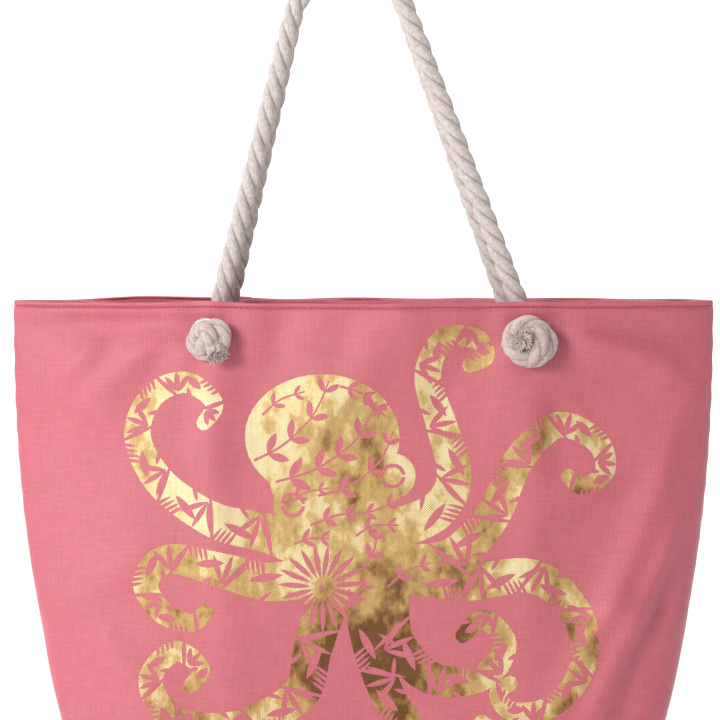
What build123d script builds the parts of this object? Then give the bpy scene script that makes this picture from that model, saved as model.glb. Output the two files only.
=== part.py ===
from build123d import *
import math
import os

os.makedirs("parts", exist_ok=True)

# Driving dimensions, in millimetres. +Z is up, -Y is the front, the origin is the middle of the base.
BAG_HEIGHT = 380.0
RIM_WIDTH = 533.0
MOUTH_DEPTH = 70.0
BASE_WIDTH = 419.0
BASE_DEPTH = 150.0
SIDE_TAPER_POWER = 2.4
DEPTH_BULGE = 0.35
RIM_SQUARENESS = 2.0
BASE_SQUARENESS = 6.0

CLOTH = 1.2
FACING_CLOTH = 1.0
LINING_CLOTH = 0.5
CLOTH_GAP = 0.2
FACING_DEPTH = 46.0
LINING_DROP = 39.0
STITCH_DROP = 4.4
STITCH_WIDTH = 0.9
THREAD_PROUD = 0.4
BOARD_THICKNESS = 2.0
BOARD_MARGIN = 6.0
POCKET_WIDTH = 200.0
POCKET_BOTTOM = 180.0
POCKET_TOP = 315.0

EYELET_HEIGHT = 356.0
EYELET_HOLE_RADIUS = 8.0
EYELET_BARREL_RADIUS = 8.8
EYELET_FLANGE_RADIUS = 13.5
EYELET_FLANGE_HEIGHT = 1.4
WASHER_THICKNESS = 0.8
CLOTH_HOLE_RADIUS = 9.0

ROPE_DIAMETER = 15.0
ROPE_RIM_OFFSET = 12.0
ROPE_TOP_OFFSET = 8.5
ROPE_BEND_DEPTH = 11.5
ROPE_LEAD = 16.5
HINGE_GAP = 0.3
LOOP_LEFT = (-48.4, 615.3)
LOOP_TOP = (-12.9, 633.7)
LOOP_RIGHT = (24.5, 619.5)

FOIL_THICKNESS = 0.25
FOIL_GAP = 0.05
ARM_WIDTH = 17.0
MANTLE_CENTRE = (-31.0, 281.0)
MANTLE_RADII = (58.0, 47.0)
BROW_CENTRE = (-14.0, 240.0)
BROW_RADII = (45.0, 26.0)
BODY_CENTRE = (-10.0, 185.0)
BODY_RADII = (48.0, 42.0)

# Each leg: eyelet centre, where its rope crosses the rim, knot radius and knot depth.
LEGS = {
    "front_left": (-1, -118.0, -109.0, 18.5, 27.0),
    "front_right": (-1, 127.0, 117.0, 22.5, 31.0),
    "back_left": (1, -111.0, -102.0, 21.0, 29.0),
    "back_right": (1, 118.0, 108.0, 20.0, 29.0),
}

# Middle lines of the printed octopus's eight arms, (x, z) on the front panel.
ARMS = [
    [(-50, 205), (-105, 212), (-151, 243), (-173, 281), (-163, 311), (-132, 322), (-108, 304), (-120, 287)],
    [(-45, 172), (-105, 184), (-150, 188), (-163, 165), (-146, 143), (-118, 138)],
    [(-25, 165), (-32, 118), (-34, 84), (-86, 70), (-145, 72), (-161, 103), (-134, 122), (-119, 98)],
    [(20, 215), (70, 243), (58, 290), (42, 330), (62, 358), (92, 346)],
    [(30, 190), (72, 194), (104, 228), (123, 273), (150, 289), (180, 274), (181, 250), (160, 243)],
    [(25, 180), (81, 172), (134, 178), (165, 144), (161, 105), (134, 76), (97, 84)],
    [(20, 165), (28, 125), (58, 98), (96, 104), (108, 128), (80, 134)],
    [(5, 160), (12, 115), (26, 80), (56, 55), (78, 38), (60, 22)],
]


def depth_share(z):
    """How far down from the rim a height is, 0 at the rim and 1 at the base."""
    return 1.0 - z / BAG_HEIGHT


def half_width(z):
    """Half the bag's width at a height."""
    taper = (RIM_WIDTH - BASE_WIDTH) * max(depth_share(z), 0.0) ** SIDE_TAPER_POWER
    return (RIM_WIDTH - taper) / 2


def half_depth(z):
    """Half the bag's depth from front to back at a height."""
    share = depth_share(z)
    swell = (1 + DEPTH_BULGE) * share - DEPTH_BULGE * share**2
    return (MOUTH_DEPTH + (BASE_DEPTH - MOUTH_DEPTH) * swell) / 2


def squareness(z):
    """Exponent of the outline's superellipse: an ellipse at the rim, nearly a rectangle at the base."""
    return RIM_SQUARENESS + (BASE_SQUARENESS - RIM_SQUARENESS) * max(depth_share(z), 0.0) ** 3


def wall_reach(x, z, inset=0.0):
    """Distance of the front or back wall from the middle plane at a place."""
    power = squareness(z)
    share = min(abs(x) / (half_width(z) - inset), 1.0)
    return (half_depth(z) - inset) * (1 - share**power) ** (1 / power)


def wall_normal(side, x, z):
    """Unit vector out of the wall on one side, -1 for the front and 1 for the back."""
    step = 1.0
    slope_x = (wall_reach(x + step, z) - wall_reach(x - step, z)) / (2 * step)
    slope_z = (wall_reach(x, z + step) - wall_reach(x, z - step)) / (2 * step)
    return Vector(-slope_x, side, -slope_z).normalized()


def half_outline(side, z, inset):
    """Points of one half of the outline at a height, from the left side to the right side."""
    count = 18
    width, depth, power = half_width(z) - inset, half_depth(z) - inset, squareness(z)
    points = [(-width, 0.0)]
    for step in range(1, count):
        angle = math.pi * step / count
        across, along = math.cos(angle), math.sin(angle)
        x = -width * math.copysign(abs(across) ** (2 / power), across)
        points.append((x, side * depth * along ** (2 / power)))
    return [*points, (width, 0.0)]


def wall_skin(side, inset, thickness, bottom, top):
    """Loft a skin that follows one half of the bag's wall between two heights, from side seam to side seam."""
    steps = max(2, round((top - bottom) / 55))
    sections = []
    for step in range(steps + 1):
        z = bottom + (top - bottom) * step / steps
        outer = half_outline(side, z, inset)
        inner = half_outline(side, z, inset + thickness)
        with BuildSketch(Plane.XY.offset(z)) as section:
            with BuildLine():
                Spline(*outer)
                Line(outer[-1], inner[-1])
                Spline(*reversed(inner))
                Line(inner[0], outer[0])
            make_face()
        sections.append(section.sketch.face())
    loft(sections=sections)


def wall_patch(side, inset, thickness, bottom, top, left, right):
    """Loft a patch that lies along one wall, between two heights and from left to right."""
    count = 8
    sections = []
    for z in (bottom, (bottom + top) / 2, top):
        stations = [left + (right - left) * step / count for step in range(count + 1)]
        outer = [(x, side * wall_reach(x, z, inset)) for x in stations]
        inner = [(x, side * wall_reach(x, z, inset + thickness)) for x in stations]
        with BuildSketch(Plane.XY.offset(z)) as section:
            with BuildLine():
                Spline(*outer)
                Line(outer[-1], inner[-1])
                Spline(*reversed(inner))
                Line(inner[0], outer[0])
            make_face()
        sections.append(section.sketch.face())
    loft(sections=sections)


def whole_outline(z, inset, height):
    """A plate with the bag's whole outline at a height."""
    front = half_outline(-1, z, inset)
    back = half_outline(1, z, inset)
    with BuildSketch(Plane.XY.offset(z)) as outline:
        with BuildLine():
            Spline(*front)
            Spline(*back)
        make_face()
    extrude(to_extrude=outline.sketch.face(), amount=height)


def eyelet_plane(leg):
    """The plane on the wall at an eyelet's centre, its z along the outward normal."""
    side, x = LEGS[leg][:2]
    origin = Vector(x, side * wall_reach(x, EYELET_HEIGHT), EYELET_HEIGHT)
    return Plane(origin=origin, x_dir=(1, 0, 0), z_dir=wall_normal(side, x, EYELET_HEIGHT))


def punch(side, depth):
    """Cut the holes for one side's eyelets through the cloth."""
    for leg, sizes in LEGS.items():
        if sizes[0] == side:
            with BuildSketch(eyelet_plane(leg).offset(-depth)) as hole:
                Circle(CLOTH_HOLE_RADIUS)
            extrude(to_extrude=hole.sketch, amount=2 * depth, mode=Mode.SUBTRACT)


def turned_ring(plane, profile):
    """Revolve a profile of (radius, height) points about the plane's normal."""
    section = Plane(origin=plane.origin, x_dir=plane.x_dir, z_dir=-plane.y_dir)
    with BuildSketch(section) as ring:
        with BuildLine():
            Polyline(*profile, close=True)
        make_face()
    revolve(profiles=ring.sketch, axis=Axis(plane.origin, plane.z_dir))


def rope_path(points):
    """Straight runs joined by tangent arcs, each as large as its two runs allow."""
    radii = []
    for before, corner, after in zip(points, points[1:], points[2:]):
        turn = (corner - before).get_angle(after - corner)
        run = min((corner - before).length, (after - corner).length)
        radii.append(0.45 * run / math.tan(math.radians(turn) / 2))
    with BuildLine() as path:
        FilletPolyline(*points, radius=radii)
    return path.wire(), radii


def report_rope(name, solid, path, radii):
    """Print a rope's length, its arcs' radii and its volume against section times length."""
    section = math.pi * ROPE_DIAMETER**2 / 4
    ratio = solid.volume / (section * path.length)
    print(f"{name}: length {path.length:.1f}, radii {[round(r, 1) for r in radii]}, volume ratio {ratio:.4f}")


def finish(builder, name):
    """Label a finished piece and write its file."""
    builder.part.label = name
    export_step(builder.part, f"parts/{name}.step")


STACK = {
    "panel": 0.0,
    "facing": CLOTH + CLOTH_GAP,
    "lining": CLOTH + FACING_CLOTH + 2 * CLOTH_GAP,
    "pocket": CLOTH + FACING_CLOTH + LINING_CLOTH + 3 * CLOTH_GAP,
}
BOARD_BOTTOM = CLOTH + CLOTH_GAP
LINING_BOTTOM = BOARD_BOTTOM + BOARD_THICKNESS + CLOTH_GAP

# The cloth walls, with what is sewn to them
for side, name in ((-1, "front"), (1, "back")):
    with BuildPart() as panel:
        wall_skin(side, STACK["panel"], CLOTH, 0, BAG_HEIGHT)
        punch(side, 12)
    finish(panel, f"{name}_panel")

    with BuildPart() as facing:
        wall_skin(side, STACK["facing"], FACING_CLOTH, BAG_HEIGHT - FACING_DEPTH, BAG_HEIGHT)
        punch(side, 12)
    finish(facing, f"{name}_facing")

    with BuildPart() as lining:
        wall_skin(side, STACK["lining"], LINING_CLOTH, LINING_BOTTOM, BAG_HEIGHT - LINING_DROP)
    finish(lining, f"{name}_lining")

    with BuildPart() as topstitch:
        stitch_height = BAG_HEIGHT - STITCH_DROP
        wall_skin(side, -THREAD_PROUD - FOIL_GAP, THREAD_PROUD, stitch_height, stitch_height + STITCH_WIDTH)
    finish(topstitch, f"{name}_topstitch")

# The bottom: cloth, stiff board and lining
with BuildPart() as base_panel:
    whole_outline(0, CLOTH + CLOTH_GAP, CLOTH)
finish(base_panel, "base_panel")

with BuildPart() as base_board:
    whole_outline(BOARD_BOTTOM, STACK["lining"] + BOARD_MARGIN, BOARD_THICKNESS)
finish(base_board, "base_board")

with BuildPart() as base_lining:
    whole_outline(LINING_BOTTOM, STACK["pocket"], LINING_CLOTH)
finish(base_lining, "base_lining")

# The flat pocket on the back lining
with BuildPart() as slip_pocket:
    half = POCKET_WIDTH / 2
    wall_patch(1, STACK["pocket"], LINING_CLOTH, POCKET_BOTTOM, POCKET_TOP, -half, half)
finish(slip_pocket, "slip_pocket")

# The foil octopus on the front panel
with BuildPart() as foil_print:
    wall_skin(-1, -FOIL_THICKNESS - FOIL_GAP, FOIL_THICKNESS, 0, BAG_HEIGHT)
    with BuildSketch(Plane.XZ) as octopus:
        for (x, z), radii in ((MANTLE_CENTRE, MANTLE_RADII), (BROW_CENTRE, BROW_RADII), (BODY_CENTRE, BODY_RADII)):
            with Locations((x, z)):
                Ellipse(*radii)
        for arm in ARMS:
            with BuildLine() as middle:
                Polyline(*arm)
            trace(middle.line, line_width=ARM_WIDTH)
    extrude(amount=BASE_DEPTH, mode=Mode.INTERSECT)
finish(foil_print, "foil_print")

# Eyelets, their washers and the knots that stop against them
grip = CLOTH + CLOTH_GAP + FACING_CLOTH
for leg, (side, eyelet_x, rim_x, knot_radius, knot_depth) in LEGS.items():
    seat = eyelet_plane(leg)

    with BuildPart() as eyelet:
        turned_ring(
            seat,
            [
                (EYELET_HOLE_RADIUS, -grip - CLOTH_GAP - WASHER_THICKNESS),
                (EYELET_BARREL_RADIUS, -grip - CLOTH_GAP - WASHER_THICKNESS),
                (EYELET_BARREL_RADIUS, CLOTH_GAP / 2),
                (EYELET_FLANGE_RADIUS, CLOTH_GAP / 2),
                (EYELET_FLANGE_RADIUS - 1, EYELET_FLANGE_HEIGHT * 0.8),
                (EYELET_FLANGE_RADIUS - 3, EYELET_FLANGE_HEIGHT),
                (EYELET_HOLE_RADIUS, EYELET_FLANGE_HEIGHT),
            ],
        )
    finish(eyelet, f"{leg}_eyelet")

    with BuildPart() as washer:
        turned_ring(
            seat,
            [
                (CLOTH_HOLE_RADIUS, -grip - CLOTH_GAP),
                (EYELET_FLANGE_RADIUS - 1, -grip - CLOTH_GAP),
                (EYELET_FLANGE_RADIUS - 1, -grip - CLOTH_GAP - WASHER_THICKNESS),
                (CLOTH_HOLE_RADIUS, -grip - CLOTH_GAP - WASHER_THICKNESS),
            ],
        )
    finish(washer, f"{leg}_washer")

    with BuildPart() as knot:
        section = Plane(origin=seat.origin, x_dir=seat.x_dir, z_dir=-seat.y_dir)
        with BuildSketch(section):
            with BuildLine():
                back = EYELET_FLANGE_HEIGHT
                waist = back + knot_depth * 0.45
                Line((0, back), (knot_radius * 0.7, back))
                Spline(
                    (knot_radius * 0.7, back),
                    (knot_radius, waist),
                    (knot_radius * 0.72, back + knot_depth * 0.85),
                    (0, back + knot_depth),
                    tangents=[(1, 0.6), (-1, 0)],
                )
                Line((0, back + knot_depth), (0, back))
            make_face()
        revolve(axis=Axis(seat.origin, seat.z_dir))
    finish(knot, f"{leg}_knot")

# Ropes: a short run from each eyelet up to the rim, and one loop above the rim on each side
for side, name in ((-1, "front"), (1, "back")):
    top_y = side * ROPE_TOP_OFFSET
    loop = [Vector(x, top_y, z) for x, z in (LOOP_LEFT, LOOP_TOP, LOOP_RIGHT)]
    rim = {}
    for hand, neighbour in (("left", loop[0]), ("right", loop[-1])):
        leg = f"{name}_{hand}"
        seat = eyelet_plane(leg)
        rim[hand] = Vector(LEGS[leg][2], side * ROPE_RIM_OFFSET, BAG_HEIGHT)
        along_leg = (neighbour - rim[hand]).normalized()
        points = [
            seat.origin + seat.z_dir * EYELET_FLANGE_HEIGHT,
            seat.origin - seat.z_dir * ROPE_BEND_DEPTH,
            rim[hand] - along_leg * ROPE_LEAD,
            rim[hand],
        ]
        path, radii = rope_path(points)
        with BuildPart() as rope_end:
            with BuildSketch(Plane(origin=points[0], z_dir=points[1] - points[0])) as section:
                Circle(ROPE_DIAMETER / 2)
            sweep(sections=section.sketch, path=path)
        finish(rope_end, f"{leg}_rope_end")
        report_rope(f"{leg}_rope_end", rope_end.part, path, radii)
        print("   points", [tuple(round(v, 2) for v in p) for p in points])

    points = []
    for place, neighbour in ((rim["left"], loop[0]), (rim["right"], loop[-1])):
        points.append(place + (neighbour - place).normalized() * HINGE_GAP)
    points = [points[0], *loop, points[1]]
    path, radii = rope_path(points)
    with BuildPart() as handle:
        with BuildSketch(Plane(origin=points[0], z_dir=points[1] - points[0])) as section:
            Circle(ROPE_DIAMETER / 2)
        sweep(sections=section.sketch, path=path)
    finish(handle, f"{name}_handle_rope")
    report_rope(f"{name}_handle_rope", handle.part, path, radii)

for leg in LEGS:
    seat = eyelet_plane(leg)
    print(leg, "eyelet", [round(v, 2) for v in seat.origin], "normal", [round(v, 4) for v in seat.z_dir])
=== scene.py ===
"""Rope-handled beach tote with a foil octopus on its front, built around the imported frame."""

import logging
import math
from dataclasses import dataclass, field
from enum import Enum
from typing import Callable, Iterable, Sequence

import bmesh
import bpy
import numpy as np
from mathutils import Matrix, Vector
from mathutils.geometry import delaunay_2d_cdt


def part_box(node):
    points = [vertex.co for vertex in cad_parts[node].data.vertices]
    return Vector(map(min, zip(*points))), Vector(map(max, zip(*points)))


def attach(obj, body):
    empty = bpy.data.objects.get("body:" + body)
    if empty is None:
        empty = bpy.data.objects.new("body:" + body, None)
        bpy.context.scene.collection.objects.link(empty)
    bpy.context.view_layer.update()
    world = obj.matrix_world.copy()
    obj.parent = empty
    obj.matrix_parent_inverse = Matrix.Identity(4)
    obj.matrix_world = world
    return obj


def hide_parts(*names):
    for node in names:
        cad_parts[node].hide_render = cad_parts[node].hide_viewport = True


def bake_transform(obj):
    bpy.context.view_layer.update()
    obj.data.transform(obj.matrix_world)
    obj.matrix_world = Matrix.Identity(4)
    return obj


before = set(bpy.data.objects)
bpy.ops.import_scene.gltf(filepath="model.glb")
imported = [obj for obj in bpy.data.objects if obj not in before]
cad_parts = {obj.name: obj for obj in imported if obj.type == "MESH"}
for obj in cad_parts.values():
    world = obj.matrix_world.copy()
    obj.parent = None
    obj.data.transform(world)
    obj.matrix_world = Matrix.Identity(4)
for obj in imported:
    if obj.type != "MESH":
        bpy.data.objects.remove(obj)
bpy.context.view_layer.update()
MM = 0.001
WELD = 1e-6
GOLDEN_TURN = 2.39996
Socket = bpy.types.NodeSocket
Piece = bpy.types.Object
Finish = bpy.types.Material
Mesh = bmesh.types.BMesh
Colour = tuple[float, float, float]
Point = tuple[float, float, float]
Outline = list[tuple[float, float]]
LOG = logging.getLogger("tote")


class Side(Enum):
    """The two walls of the bag, by the sign of their y."""

    FRONT = -1
    BACK = 1

    @property
    def word(self) -> str:
        """The side's name as the frame's nodes spell it."""
        return self.name.lower()


class Hand(Enum):
    """The two legs of a handle, by the sign of their x."""

    LEFT = -1
    RIGHT = 1

    @property
    def word(self) -> str:
        """The hand's name as the frame's nodes spell it."""
        return self.name.lower()


# ---------------------------------------------------------------- finishes


class NodeDesk:
    """Short calls that add and join shader nodes in one material."""

    def __init__(self, name: str) -> None:
        """Start an empty material with a Principled shader.

        Args:
            name: The material's name.
        """
        self.material = bpy.data.materials.new(name)
        self.material.use_nodes = True
        self.tree = self.material.node_tree
        self.shader = self.tree.nodes["Principled BSDF"]

    def add(self, kind: str, **settings: object) -> bpy.types.Node:
        """Add a node and set its properties.

        Args:
            kind: The node's type name.
            settings: Properties to set on it.

        Returns:
            The new node.
        """
        node = self.tree.nodes.new(kind)
        for key, value in settings.items():
            setattr(node, key, value)
        return node

    def feed(self, socket: Socket, value: object) -> None:
        """Link a socket to another socket, or set it to a plain value.

        Args:
            socket: The input to feed.
            value: An output socket, a number or a tuple.
        """
        if isinstance(value, Socket):
            self.tree.links.new(value, socket)
        else:
            socket.default_value = value

    def math(self, operation: str, a: object, b: object = 0.0, clamp: bool = False) -> Socket:
        """Add a Math node.

        Args:
            operation: The operation's name.
            a: First operand, a socket or a number.
            b: Second operand, a socket or a number.
            clamp: Whether the result is kept from 0 to 1.

        Returns:
            The result's socket.
        """
        node = self.add("ShaderNodeMath", operation=operation, use_clamp=clamp)
        self.feed(node.inputs[0], a)
        self.feed(node.inputs[1], b)
        return node.outputs[0]

    def noise(self, vector: object, scale: float, detail: float = 2.0, roughness: float = 0.5) -> Socket:
        """Add a Noise texture.

        Args:
            vector: The coordinates.
            scale: Its scale.
            detail: Its detail.
            roughness: Its roughness.

        Returns:
            The noise's value socket.
        """
        node = self.add("ShaderNodeTexNoise")
        self.feed(node.inputs["Vector"], vector)
        node.inputs["Scale"].default_value = scale
        node.inputs["Detail"].default_value = detail
        node.inputs["Roughness"].default_value = roughness
        return node.outputs["Fac"]

    def stretched(self, vector: object, scale: Point) -> Socket:
        """Scale coordinates by a Mapping node.

        Args:
            vector: The coordinates.
            scale: The factor along each axis.

        Returns:
            The scaled coordinates.
        """
        node = self.add("ShaderNodeMapping")
        self.feed(node.inputs["Vector"], vector)
        node.inputs["Scale"].default_value = scale
        return node.outputs["Vector"]

    def remap(self, value: object, low: float, high: float, to_low: float, to_high: float) -> Socket:
        """Map a value from one span to another, smoothly, with its ends clamped.

        Args:
            value: The value.
            low: Start of the span it is read over.
            high: End of that span.
            to_low: What low gives.
            to_high: What high gives.

        Returns:
            The mapped value's socket.
        """
        node = self.add("ShaderNodeMapRange", interpolation_type="SMOOTHSTEP")
        for socket, number in zip(node.inputs[:5], (value, low, high, to_low, to_high)):
            self.feed(socket, number)
        return node.outputs["Result"]

    def ramp(self, value: object, stops: Sequence[tuple[float, Colour]]) -> Socket:
        """Add a colour ramp.

        Args:
            value: What drives it.
            stops: Place and colour of each stop.

        Returns:
            The colour's socket.
        """
        node = self.add("ShaderNodeValToRGB")
        elements = node.color_ramp.elements
        while len(elements) < len(stops):
            elements.new(1.0)
        for element, (place, colour) in zip(elements, stops):
            element.position = place
            element.color = (*colour, 1.0)
        self.feed(node.inputs["Fac"], value)
        return node.outputs["Color"]

    def mix(self, share: object, a: object, b: object, blend: str = "MIX") -> Socket:
        """Mix two colours.

        Args:
            share: How much of b shows.
            a: First colour, a socket or three numbers.
            b: Second colour, a socket or three numbers.
            blend: The blend mode.

        Returns:
            The mixed colour's socket.
        """
        node = self.add("ShaderNodeMix", data_type="RGBA", blend_type=blend)
        colours = [s for s in node.inputs if s.type == "RGBA"]
        self.feed(node.inputs[0], share)
        for socket, value in zip(colours, (a, b)):
            self.feed(socket, (*value, 1.0) if isinstance(value, tuple) else value)
        return [s for s in node.outputs if s.type == "RGBA"][0]

    def bump(self, height: object, distance: float, strength: float = 1.0, below: object = None) -> Socket:
        """Add a Bump node.

        Args:
            height: The height field.
            distance: Its full height in metres.
            strength: Its strength.
            below: A normal that it is laid on.

        Returns:
            The normal's socket.
        """
        node = self.add("ShaderNodeBump")
        node.inputs["Strength"].default_value = strength
        node.inputs["Distance"].default_value = distance
        self.feed(node.inputs["Height"], height)
        if below is not None:
            self.feed(node.inputs["Normal"], below)
        return node.outputs["Normal"]

    def drive(self, name: str, value: Socket) -> None:
        """Link one of the shader's inputs, by its name."""
        self.feed(self.shader.inputs[name], value)

    def parts(self, vector: Socket) -> Sequence[Socket]:
        """The three separate parts of a vector.

        Args:
            vector: The vector's socket.

        Returns:
            Its x, y and z sockets.
        """
        node = self.add("ShaderNodeSeparateXYZ")
        self.feed(node.inputs[0], vector)
        return node.outputs

    def fix(self, values: dict[str, object]) -> None:
        """Set the shader's uniform values by socket name."""
        for name, value in values.items():
            self.shader.inputs[name].default_value = value

    def total(self, start: object, parts: Iterable[tuple[object, float]]) -> object:
        """Add shares of several sockets to a value.

        Args:
            start: A socket or a number.
            parts: Each socket and its share.

        Returns:
            The sum's socket.
        """
        for socket, share in parts:
            start = self.math("ADD", start, self.math("MULTIPLY", socket, share))
        return start

    def uv(self) -> Socket:
        """The piece's own UV coordinates."""
        return self.add("ShaderNodeUVMap", uv_map="weave").outputs["UV"]

    def place(self) -> Socket:
        """The piece's Object coordinates."""
        return self.add("ShaderNodeTexCoord").outputs["Object"]


@dataclass(frozen=True)
class PlainWeave:
    """Height and shade of a plain weave over UV coordinates in metres."""

    thread: float

    def lay(self, desk: NodeDesk) -> dict[str, Socket]:
        """Add the weave's nodes.

        Args:
            desk: The material's desk.

        Returns:
            Sockets by name: "knuckle", the raised middle of each crossing, "gap", the hole between threads,
            "check", which turns from 1 to -1 as warp and weft take turns on top, "rib" and "bar", the finer
            and coarser of neighbouring warps and wefts, and "slub", the threads' uneven thickness.
        """
        uv = desk.uv()
        along, up, _ = desk.parts(uv)
        rib = desk.math("SINE", desk.math("MULTIPLY", along, math.pi / self.thread))
        bar = desk.math("SINE", desk.math("MULTIPLY", up, math.pi / self.thread))
        check = desk.math("MULTIPLY", rib, bar)
        size = desk.math("ABSOLUTE", check)
        pace = 1.0 / self.thread
        upright = desk.noise(desk.stretched(uv, (pace * 0.8, pace * 0.05, 1.0)), 1.0, 1.0)
        level = desk.noise(desk.stretched(uv, (pace * 0.05, pace * 0.8, 1.0)), 1.0, 1.0)
        both = desk.math("MULTIPLY", desk.math("ADD", upright, level), 0.5)
        return {
            "knuckle": desk.math("POWER", size, 0.55),
            "gap": desk.remap(size, 0.0, 0.16, 1.0, 0.0),
            "check": check,
            "rib": rib,
            "bar": bar,
            "slub": desk.remap(both, 0.32, 0.68, -1.0, 1.0),
        }


@dataclass(frozen=True)
class WovenCloth:
    """Plain woven cloth with uneven threads, faint lighter and darker patches, and painted shade in the gaps
    between threads.
    """

    name: str
    light: Colour
    deep: Colour
    thread: float = 0.92 * MM
    relief: float = 0.15 * MM

    def make(self) -> Finish:
        """Build the cloth's material.

        Returns:
            The finished material.
        """
        desk = NodeDesk(self.name)
        weave = PlainWeave(self.thread).lay(desk)
        shares = {"check": 0.62, "rib": 0.05, "bar": 0.03, "slub": 0.13}
        shade = desk.total(0.5, [(weave[part], share) for part, share in shares.items()])
        threads = desk.mix(desk.math("ADD", shade, 0.0, clamp=True), self.deep, self.light)
        # Painted shade: the colour is darkened in the gaps between threads.
        gaps = tuple(c * 0.55 for c in self.deep)
        woven = desk.mix(desk.math("MULTIPLY", weave["gap"], 0.4), threads, gaps)
        patches = desk.remap(desk.noise(desk.place(), 9.0, 3.0), 0.35, 0.65, 0.95, 1.03)
        combine = desk.add("ShaderNodeCombineColor")
        for socket in combine.inputs[:3]:
            desk.feed(socket, patches)
        tone = desk.mix(1.0, woven, combine.outputs[0], "MULTIPLY")
        desk.drive("Base Color", tone)
        fuzz = desk.noise(desk.place(), 2600.0, 1.0)
        height = desk.total(weave["knuckle"], [(weave["slub"], 0.12), (weave["check"], 0.30), (fuzz, 0.12)])
        desk.drive("Normal", desk.bump(height, self.relief, 0.9))
        desk.fix({
            "Roughness": 0.44,
            "Specular IOR Level": 0.95,
            "Sheen Weight": 0.05,
            "Sheen Roughness": 0.35,
            "Sheen Tint": (1.0, 0.84, 0.86, 1.0),
        })
        return desk.material


@dataclass(frozen=True)
class FoilFilm:
    """Gold foil pressed into the weave, worn through at the gaps between threads. Its gold carries painted
    reflections and highlights, and painted shade in the weave's troughs.
    """

    name: str
    cloth_behind: Colour
    thread: float = 0.92 * MM

    def make(self) -> Finish:
        """Build the foil's material.

        Returns:
            The finished material.
        """
        desk = NodeDesk(self.name)
        weave = PlainWeave(self.thread).lay(desk)
        place = desk.place()
        # Painted reflections: broad and fine noise run the gold from dark brown to pale highlights, in place
        # of the surroundings that the foil mirrors.
        reflection_drift = desk.noise(desk.stretched(place, (1.0, 1.0, 0.7)), 15.0, 7.0, 0.68)
        glint_flicker = desk.noise(desk.stretched(place, (1.0, 1.0, 0.6)), 95.0, 2.0)
        painted_reflection = desk.total(reflection_drift, [(desk.math("SUBTRACT", glint_flicker, 0.5), 0.26)])
        # Painted dark reflection low in the middle of the print, and painted highlight rising towards the
        # top.
        x, _, z = desk.parts(place)
        low_down = desk.remap(z, 0.165, 0.115, 0.0, 1.0)
        off_centre = desk.math("ABSOLUTE", desk.math("SUBTRACT", x, 0.012))
        dark_reflection_mask = desk.math("MULTIPLY", low_down, desk.remap(off_centre, 0.035, 0.085, 1.0, 0.0))
        painted_reflection = desk.math("SUBTRACT", painted_reflection, desk.math("MULTIPLY", dark_reflection_mask, 0.13))
        painted_reflection = desk.math("ADD", painted_reflection, desk.remap(z, 0.14, 0.24, -0.01, 0.035))
        gold = desk.ramp(
            painted_reflection,
            [
                (0.36, (0.17, 0.09, 0.025)),
                (0.42, (0.40, 0.25, 0.075)),
                (0.47, (0.62, 0.43, 0.15)),
                (0.525, (0.73, 0.54, 0.21)),
                (0.56, (0.91, 0.77, 0.38)),
                (0.64, (0.98, 0.90, 0.54)),
            ],
        )
        # Painted shade: the weave's lower cells and its gaps darken the gold.
        trough_shade = desk.total(0.0, [(weave["rib"], -0.12), (weave["bar"], -0.10), (weave["check"], -0.95)])
        trough_shade = desk.math("ADD", trough_shade, desk.math("MULTIPLY", weave["gap"], 0.25), clamp=True)
        trough_shaded_gold = desk.mix(trough_shade, gold, desk.mix(1.0, gold, (0.22, 0.155, 0.08), "MULTIPLY"))
        thin = desk.remap(desk.noise(place, 55.0, 3.0), 0.36, 0.62, 0.25, 1.0)
        worn = desk.math("MULTIPLY", desk.math("MULTIPLY", weave["gap"], thin), 0.62)
        desk.drive("Base Color", desk.mix(worn, trough_shaded_gold, self.cloth_behind))
        desk.drive("Metallic", desk.math("SUBTRACT", 0.94, worn, clamp=True))
        rough = desk.remap(desk.noise(place, 160.0, 2.0), 0.3, 0.7, 0.28, 0.44)
        desk.drive("Roughness", desk.math("ADD", rough, desk.math("MULTIPLY", worn, 0.4)))
        height = desk.total(weave["knuckle"], [(weave["check"], 0.40), (weave["slub"], 0.12)])
        desk.drive("Normal", desk.bump(height, 0.30 * MM, 0.6))
        return desk.material


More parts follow.
